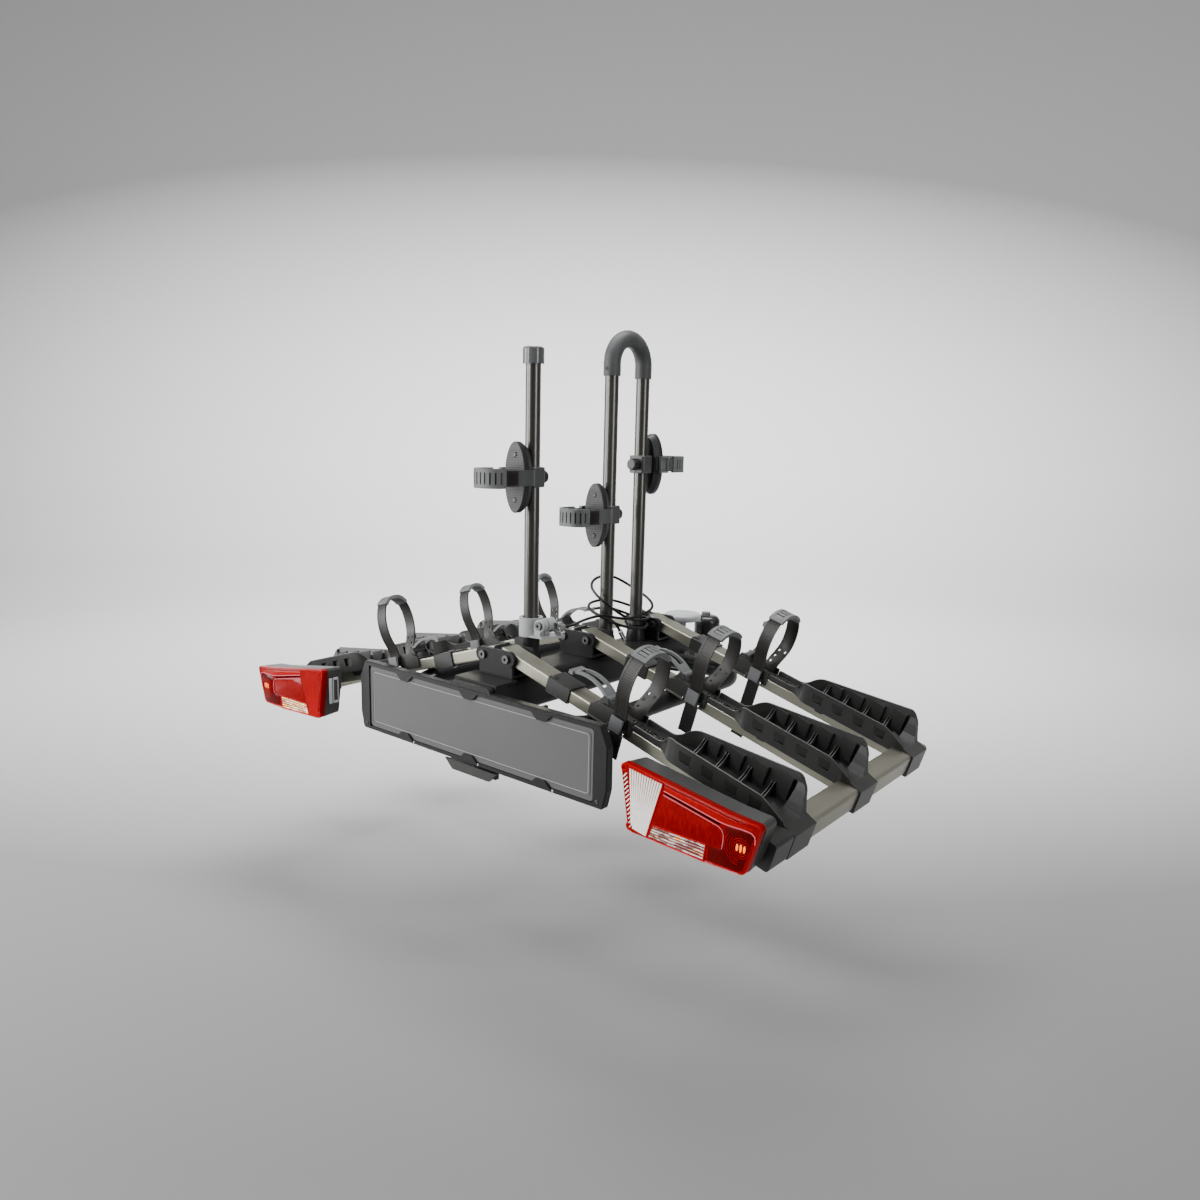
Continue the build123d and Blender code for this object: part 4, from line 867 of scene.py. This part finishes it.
class CARRIER_OT_frame_clamps(MakeStep):
    """Dress the clamps with their ribbed straps, sleeves and buckles"""

    bl_idname = "carrier.frame_clamps"
    bl_label = "Frame Clamps"

    posts = ((-0.4564, 0.392, False), (-0.2536, 0.32, False), (-0.1615, 0.41, True))
    screw_places = (-0.0365, 0.0, 0.0365)
    loop = ((7, -17, 0), (17, -17, 0), (25.6, -20, 0), (26.2, -42, 0), (28.5, -58, 0), (31, -78, 0),
            (28.5, -101, 0), (14, -114.6, 0))

    def strap(self, line):
        bm = bmesh.new()
        band(bm, line, (0, 0, 0.0245), 0.0018)
        ladder = [spot for spot in line if spot.x > 0 and -0.095 < spot.y < -0.063]
        for edge in (-1, 1):
            band(bm, ladder, (0, 0, 0.003), 0.0034, edge * 0.0108)
        rungs(bm, ladder, (0, 0, 1), 0.0031, 0.0014, 0.0195, 0.0034)
        return bm

    def sleeve(self, line):
        bm = bmesh.new()
        crown = [spot for spot in line if spot.y < (-0.0905 if spot.x > 0 else -0.063)]
        for edge in (-1, 1):
            band(bm, crown, (0, 0, 0.0062), 0.0052, edge * 0.0124)
        rungs(bm, crown, (0, 0, 1), 0.0083, 0.0062, 0.0195, 0.0048)
        for end in (crown[:4], crown[-4:]):
            band(bm, end, (0, 0, 0.0306), 0.0056)
        ribs = [spot for spot in line if spot.x < 0 and -0.063 < spot.y < -0.043]
        band(bm, ribs, (0, 0, 0.0225), 0.003)
        rungs(bm, ribs, (0, 0, 1), 0.0022, 0.0013, 0.021, 0.0046)
        return bm

    def buckle(self):
        bm = bmesh.new()
        for z in (-13.7, 13.7):
            bar(bm, mm(-34.5, -44.5, z - 1.8), mm(-27.4, -20, z + 1.8), 0.0008)
        bar(bm, mm(-34, -44.5, -13), mm(-27.6, -40.5, 13), 0.0008)
        bar(bm, mm(-33, -24, -13), mm(-27.6, -20, 13), 0.0008)
        bar(bm, mm(-31.2, -41, -11.5), mm(-28, -23, 11.5), 0.0006)
        return bm

    def execute(self, context):
        flipped = [(-x, y, z) for x, y, z in reversed(self.loop)]
        line = smooth_line([mm(*point) for point in (*self.loop, *flipped)], 150)
        plain = [spot for spot in line if spot.x > 0 and spot.y > -0.066]
        for number, (y, z, turn) in enumerate(self.posts, 1):
            head = "clamp_%d_head" % number
            where = Matrix.Translation((0, y, z)) @ Matrix.Rotation(math.pi if turn else 0.0, 4, "Z")
            strap = finished("clamp_%d_band" % number, self.strap(line), head,
                             finish("strap"), where=where)
            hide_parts("clamp_%d_strap" % number)
            bm = bmesh.new()
            band(bm, plain, (0, 0, 0.0255), 0.0026)
            finished("clamp_%d_cheek" % number, bm, head, finish("block"), where=where)
            finished("clamp_%d_sleeve" % number, self.sleeve(line), head, finish("sleeve"),
                     where=where)
            finished("clamp_%d_buckle" % number, self.buckle(), head, finish("buckle"),
                     where=where)
            # Dark discs on the pad's face round each screw, as painted shade of the screw recesses.
            bm = bmesh.new()
            for place in self.screw_places:
                turned(bm, [(0, 0), (0.0042, 0), (0.0042, 0.0008), (0.0039, 0.001), (0, 0.001)],
                       along((0, -1, 0), (0, -0.042, place)), 10)
            finished("clamp_%d_recesses" % number, bm, head, finish("cable"), where=where)
            bm = bmesh.new()
            for place in self.screw_places:
                turned(bm, [(0, 0), (0.0012, 0), (0.001, 0.0004), (0, 0.0004)],
                       along((0, -1, 0), (0.0006, -0.0429, place)), 12)
            finished("clamp_%d_screws" % number, bm, head, finish("dark_steel"), where=where)
        return {"FINISHED"}


class CARRIER_OT_lamps(MakeStep):
    """Build the lamp lenses with their reflectors, windows, rings and screws"""

    bl_idname = "carrier.lamps"
    bl_label = "Tail Lamps"

    outline = ((342, 35), (514, 8), (559, 4), (538, -65), (357.5, -60))
    reflector = ((356, 28.2), (411, 20), (386.3, -58.6), (362.5, -54))
    window = ((398.5, -41.5), (479, -42), (476.2, -63.6), (391.5, -58.6))
    fields = (
        ("band", "red", ((413.5, 18.6), (513, 3), (548, -0.6), (543, -4), (502, -5.6),
                         (415, 11.5)), 0.0003),
        ("step", "red_dark", ((415, 10.6), (501, -6.8), (499, -10), (414, 7.6)), 0.0005),
        ("panel", "red_panel", ((413, 5.5), (495, -11.5), (501.5, -15), (504, -24), (502, -35.5),
                                (496, -38.5), (401, -38.5)), 0.0001),
        ("field", "red_dark", ((507, -8.5), (543, -7), (548.5, -11), (534.5, -58), (528, -61.6),
                               (484, -60.4), (484, -41.5), (503, -40.5), (507, -34), (508.5, -22)), 0.0004),
    )
    sill = ((389.5, -60.6), (477, -64.8), (528, -64))
    front = -0.639
    bulb = (530.7, -30.5)
    screw_places = ((348.1, 27.0), (359.0, -53.1))

    def points(self, outline, side):
        spots = [(x * side * 0.001, z * 0.001) for x, z in outline]
        return spots if side > 0 else list(reversed(spots))

    def spot(self, x, z, side, depth):
        return Vector((x * side * 0.001, self.front + depth, z * 0.001))

    def ribbed(self, bm, quad, side, count, tall, y0, y1):
        """Half-round ribs that fill a four-cornered window."""
        corners = [Vector((x * side * 0.001, 0, z * 0.001)) for x, z in quad]
        for k in range(count):
            share = (k + 0.5) / count
            if tall:
                a, b = corners[0].lerp(corners[1], share), corners[3].lerp(corners[2], share)
                width = (corners[1] - corners[0]).length / count
            else:
                a, b = corners[0].lerp(corners[3], share), corners[1].lerp(corners[2], share)
                width = (corners[3] - corners[0]).length / count
            ahead = (b - a).normalized()
            outward = Vector((0, -1, 0))
            turn = Matrix((ahead, ahead.cross(outward), outward)).transposed().to_4x4()
            middle = (a + b) / 2 + Vector((0, (y0 + y1) / 2, 0))
            shape = Matrix.Translation(middle) @ turn @ Matrix.Diagonal(
                ((b - a).length, width * 0.86, y1 - y0, 1.0))
            made = bmesh.ops.create_cube(bm, size=1.0, matrix=shape)["verts"]
            edges = [edge for edge in {edge for vert in made for edge in vert.link_edges}
                     if all(vert.co.y < middle.y for vert in edge.verts)
                     and abs((edge.verts[0].co - edge.verts[1].co).normalized().dot(ahead)) > 0.9]
            bmesh.ops.bevel(bm, geom=edges, offset=width * 0.36, segments=2, profile=0.5,
                            affect="EDGES", material=-1)

    def frames(self, side):
        bm = bmesh.new()
        front = self.front
        for quad in (((353.5, 31), (413.5, 22.5), (388.5, -61), (359.5, -56.6)),
                     ((396, -39.5), (481.8, -40), (478.6, -66), (388.6, -60.6))):
            frame_ring(bm, self.points(quad, side), 0.0021, front - 0.0002, front + 0.003, 0.0006)
        for x, z in self.screw_places:
            turned(bm, [(0.0022, -0.002), (0.006, -0.002), (0.006, 0.0002), (0.0048, 0.0012),
                        (0.0028, 0.0012), (0.0022, 0.0004), (0.0022, -0.002)],
                   along((0, -1, 0), self.spot(x, z, side, 0.0008)), 20)
        return bm

    # The ridges are given the lighter pink finish as a painted highlight along them.
    def highlight_ridges(self, side):
        bm = bmesh.new()
        line = smooth_line([self.spot(x, z, side, 0.0) for x, z in (
            (414, 11.9), (480, -1.2), (506, -6.2), (530, -5.4), (545, -6), (551.5, -11), (550, -20))], 30)
        band(bm, line, (0, 0.0012, 0), 0.0011)
        inner = smooth_line([self.spot(x, z, side, 0.0) for x, z in (
            (413.5, 6.4), (490, -9.4), (503, -12.5), (507, -24), (504, -39.4))], 24)
        band(bm, inner, (0, 0.0012, 0), 0.0009)
        return bm

    def rings(self, side):
        bm = bmesh.new()
        x, z = self.bulb
        centre = self.spot(x, z, side, 0.0004)
        for ring in range(4):
            radius = 0.0036 + 0.0031 * ring
            turned(bm, [(radius - 0.0009, -0.001), (radius - 0.0003, 0.0005), (radius + 0.0003, 0.0005),
                        (radius + 0.0009, -0.001), (radius - 0.0009, -0.001)],
                   along((0, -1, 0), centre), 36)
        for ring in range(3):
            radius = 16.2 + 3.3 * ring
            arc = [self.spot(x + radius * math.cos(math.radians(angle)),
                             z + radius * math.sin(math.radians(angle)), side, 0.0002)
                   for angle in range(140, 262, 12)]
            band(bm, arc, (0, 0.0014, 0), 0.0008)
        return bm

    def hatch(self, side):
        bm = bmesh.new()
        for k in range(13):
            z = 19.0 - 5.6 * k
            x = 346.2 + 1.12 * k
            a = self.spot(x, z - 5.5, side, 0.0004)
            b = self.spot(x + 6.4, z + 1.5, side, 0.0004)
            rod(bm, a, b, 0.0009, 8)
        return bm

    def execute(self, context):
        front = self.front
        for name, side in SIDES:
            wing = "wing_" + name
            outline = rounded(self.points(self.outline, side), 0.0075)
            bm = bmesh.new()
            slab(bm, outline, front + 0.0005, front + 0.0117, 0.003, 4)
            cover = finished(name + "_lens_body", bm, wing, finish("red_shell"))
            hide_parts(name + "_lamp_lens")
            bm = bmesh.new()
            frame_ring(bm, outline, 0.0016, front, front + 0.003, 0.0006)
            finished(name + "_lens_rim", bm, wing, finish("red"))
            for field, kind, shape, depth in self.fields:
                bm = bmesh.new()
                slab(bm, rounded(self.points(shape, side), 0.0012), front + depth, front + 0.0025, 0.0004)
                finished("%s_lens_%s" % (name, field), bm, wing, finish(kind))
            bm = bmesh.new()
            band(bm, [self.spot(x, z, side, 0.0004) for x, z in self.sill], (0, 0.0016, 0), 0.0008)
            finished(name + "_lens_sill", bm, wing, finish("pink_band_and_highlight"))
            bm = bmesh.new()
            self.ribbed(bm, self.reflector, side, 13, True, front - 0.0001, front + 0.003)
            reflector = finish("clear_ribs" if side > 0 else "red")
            finished(name + "_lens_reflector", bm, wing, reflector)
            finished(name + "_lens_hatch", self.hatch(side), wing, reflector)
            finished(name + "_lens_frames", self.frames(side), wing, finish("red"))
            finished(name + "_lens_ridges", self.highlight_ridges(side), wing, finish("pink_band_and_highlight"))
            finished(name + "_lens_rings", self.rings(side), wing, finish("red"))
            bm = bmesh.new()
            self.ribbed(bm, self.window, side, 5, False, front + 0.0001, front + 0.003)
            finished(name + "_lens_window", bm, wing,
                     finish("clear_window" if side > 0 else "amber_window"))
            bm = bmesh.new()
            x, z = self.bulb
            for shift, tall in ((-5.2, 0.85), (0.0, 1.0), (5.2, 0.9)):
                shape = (Matrix.Translation(self.spot(x + shift, z, side, 0.0))
                         @ Matrix.Rotation(0.1 * side, 4, "Y")
                         @ Matrix.Diagonal((0.0017, 0.0006, 0.0056 * tall, 1.0)))
                bmesh.ops.create_uvsphere(bm, u_segments=12, v_segments=8, radius=1.0, matrix=shape)
            finished(name + "_lens_glow", bm, wing, finish("glow"))
            bm = bmesh.new()
            for x, z in self.screw_places:
                screw(bm, self.spot(x, z, side, 0.002), (0, -1, 0), 0.0021, 0.0012)
            finished(name + "_lens_screws", bm, wing, finish("dark_steel"))
        self.plate_light()
        return {"FINISHED"}

    def plate_light(self):
        """The clear window in the end of the left lamp that lights the plate."""
        x = -0.3418
        bm = bmesh.new()
        bar(bm, (x, -0.6265, -0.031), (x + 0.0016, -0.6205, 0.0165), 0.0006)
        for low, high in (((-0.6185, 0.012), (-0.6075, 0.0165)), ((-0.6185, -0.031), (-0.6075, -0.0265)),
                          ((-0.6187, -0.0308), (-0.617, 0.0163)), ((-0.609, -0.0308), (-0.6073, 0.0163))):
            bar(bm, (x, low[0], low[1]), (x + 0.0016, high[0], high[1]), 0.0004)
        finished("left_lamp_window_frame", bm, "wing_left", finish("window_clear"))
        bm = bmesh.new()
        bar(bm, (x, -0.618, -0.0305), (x + 0.0008, -0.608, 0.016), 0.0002)
        finished("left_lamp_window", bm, "wing_left", finish("window_dark"))


class CARRIER_OT_board(MakeStep):
    """Add the studs, screws and embossed line of the number-plate board, the pedal's heel and the grip's
    screw
    """

    bl_idname = "carrier.board"
    bl_label = "Plate Board"

    face = -0.598
    line = ((-0.2505, 0.0405), (0.2505, 0.0405), (0.2505, -0.0505), (-0.2505, -0.0505))

    def execute(self, context):
        bm = bmesh.new()
        for x in (-0.1386, 0.0207, 0.183):
            turned(bm, [(0, 0), (0.0022, 0), (0.002, 0.0008), (0, 0.001)],
                   along((0, -1, 0), (x, self.face, -0.0631)), 16)
        finished("board_studs", bm, "chassis", finish("bright"))
        bm = bmesh.new()
        for x in (-0.2685, 0.2685):
            screw(bm, (x, self.face, -0.057), (0, -1, 0), 0.003, 0.0012)
        finished("board_screws", bm, "chassis", finish("dark_steel"))
        bm = bmesh.new()
        # The embossed line, coloured lighter as a painted highlight.
        frame_ring(bm, rounded(self.line, 0.005), 0.0009, -0.5958, -0.5949)
        finished("plate_highlight_line", bm, "chassis", finish("plate_edge_highlight"))
        bm = bmesh.new()
        bar(bm, (-0.0555, -0.5925, -0.0825), (0.0555, -0.584, -0.0713), 0.001)
        finished("pedal_heel", bm, "pedal", finish("tray"))
        bm = bmesh.new()
        low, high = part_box("u_frame_sleeve")
        screw(bm, ((low[0] + high[0]) / 2, low[1] + 0.0006, low[2] + 0.012), (0, -1, 0), 0.0034, 0.0014)
        finished("grip_screw", bm, "chassis", finish("cable"))
        return {"FINISHED"}


class CARRIER_OT_finishes(MakeStep):
    """Give every carried-over piece of the frame its finish"""

    bl_idname = "carrier.finishes"
    bl_label = "Finishes"

    by_slot = {
        "black_plastic": "tray", "grey_plastic": "lever", "pad_grey": "pad", "strap_black": "strap",
        "cable_black": "cable", "frame_black": "frame", "cast_dark": "frame", "post_black": "post",
        "rail_grey": "rail", "zinc": "dark_steel", "bright_steel": "bright", "key_steel": "lever",
        "gloss_black": "gloss", "plate_grey": "plate", "lamp_body": "tray", "lamp_red": "red",
    }
    by_ending = {
        "crossbar": "crossbar", "knob": "knob", "block": "block", "post_cap": "cap", "collar": "collar",
        "tension_knob": "collar", "frame_sleeve": "bend",
    }

    def execute(self, context):
        slots = {part["node"]: part["material_slot"] for part in frame["record"]["subparts"]}
        for name, node in frame["nodes"].items():
            kind = self.by_slot[slots[name]]
            for ending, special in self.by_ending.items():
                if name.endswith(ending):
                    kind = special
            node.data.materials.clear()
            node.data.materials.append(finish(kind))
        return {"FINISHED"}


class CARRIER_OT_stage(MakeStep):
    """Set the pale floor and the soft studio light"""

    bl_idname = "carrier.stage"
    bl_label = "Stage"

    floor_z = -0.39
    target = (0.0, -0.3, 0.2)

    def light(self, context, name, place, size, power, aim=target):
        data = bpy.data.lights.new(name, "AREA")
        data.shape = "RECTANGLE"
        data.size, data.size_y = size
        data.energy = power
        lamp = bpy.data.objects.new(name, data)
        heading = (Vector(aim) - Vector(place)).to_track_quat("-Z", "Y")
        lamp.matrix_world = Matrix.Translation(place) @ heading.to_matrix().to_4x4()
        context.scene.collection.objects.link(lamp)

    def execute(self, context):
        bm = bmesh.new()
        low = self.floor_z
        turned(bm, [(0.0, low), (3.6, low), (4.4, low + 0.08), (5.0, low + 0.35), (5.35, low + 0.8),
                    (5.5, low + 1.5), (5.5, low + 7.0)], Matrix(), 96)
        mesh = bpy.data.meshes.new("studio_floor")
        bmesh.ops.recalc_face_normals(bm, faces=bm.faces)
        bmesh.ops.reverse_faces(bm, faces=bm.faces)
        bm.to_mesh(mesh)
        bm.free()
        mesh.shade_smooth()
        floor = bpy.data.objects.new("studio_floor", mesh)
        context.scene.collection.objects.link(floor)
        f = Finish("Studio Floor")
        x, y, z = f.axes()
        # The floor and backdrop are painted darker away from a spot behind the carrier, as painted shade.
        far = (x + 3.1) * (x + 3.1) + (y - 3.6) * (y - 3.6) + z * z * 4.0
        shadow = f.ramp(far * 0.038, (0.0, 0.0), (1.0, 1.0))
        f.base(f.mix(shadow, (0.9, 0.9, 0.9, 1), (0.22, 0.22, 0.22, 1)), 0.8)
        # They also glow where they are not painted dark, as painted light.
        f.glow(f.mix(shadow, (1, 1, 1, 1), (0, 0, 0, 1)), 0.3)
        mesh.materials.append(f.material)
        world = bpy.data.worlds.new("Studio Light")
        world.use_nodes = True
        world.node_tree.nodes["Background"].inputs[0].default_value = (0.9, 0.9, 0.92, 1)
        world.node_tree.nodes["Background"].inputs[1].default_value = 0.22
        context.scene.world = world
        self.light(context, "overhead softbox", (0.0, -0.3, 3.0), (3.0, 2.6), 80.0)
        self.light(context, "left softbox", (-2.6, -2.6, 0.9), (1.6, 2.6), 170.0)
        self.light(context, "front strip", (-0.9, -3.3, 1.1), (0.6, 2.6), 95.0)
        self.light(context, "right strip", (3.4, -0.5, 1.1), (0.7, 2.4), 60.0)
        self.light(context, "backdrop light", (-0.2, 0.3, 2.7), (2.0, 2.0), 360.0, (-3.3, 4.2, 0.6))
        return {"FINISHED"}


STEPS = (CARRIER_OT_camera, CARRIER_OT_lock_cable, CARRIER_OT_tray_rims, CARRIER_OT_wheel_straps,
         CARRIER_OT_strap_fittings, CARRIER_OT_frame_clamps, CARRIER_OT_board, CARRIER_OT_lamps,
         CARRIER_OT_finishes, CARRIER_OT_stage)


class CARRIER_PT_panel(bpy.types.Panel):
    bl_label = "Bike Carrier"
    bl_idname = "CARRIER_PT_panel"
    bl_space_type = "VIEW_3D"
    bl_region_type = "UI"
    bl_category = "Carrier"

    def draw(self, context):
        layout = self.layout
        for group in (context.scene.carrier_colors, context.scene.carrier_sizes):
            for name in group.bl_rna.properties.keys():
                if name not in {"rna_type", "name"}:
                    layout.prop(group, name)
        for step in STEPS:
            layout.operator(step.bl_idname)


CLASSES = (CarrierColors, CarrierSizes, *STEPS, CARRIER_PT_panel)


def register():
    for cls in CLASSES:
        bpy.utils.register_class(cls)
    bpy.types.Scene.carrier_colors = PointerProperty(type=CarrierColors)
    bpy.types.Scene.carrier_sizes = PointerProperty(type=CarrierSizes)


def unregister():
    del bpy.types.Scene.carrier_sizes
    del bpy.types.Scene.carrier_colors
    for cls in reversed(CLASSES):
        bpy.utils.unregister_class(cls)


def main():
    register()
    for step in STEPS:
        group, name = step.bl_idname.split(".")
        getattr(getattr(bpy.ops, group), name)()


if __name__ == "__main__":
    main()
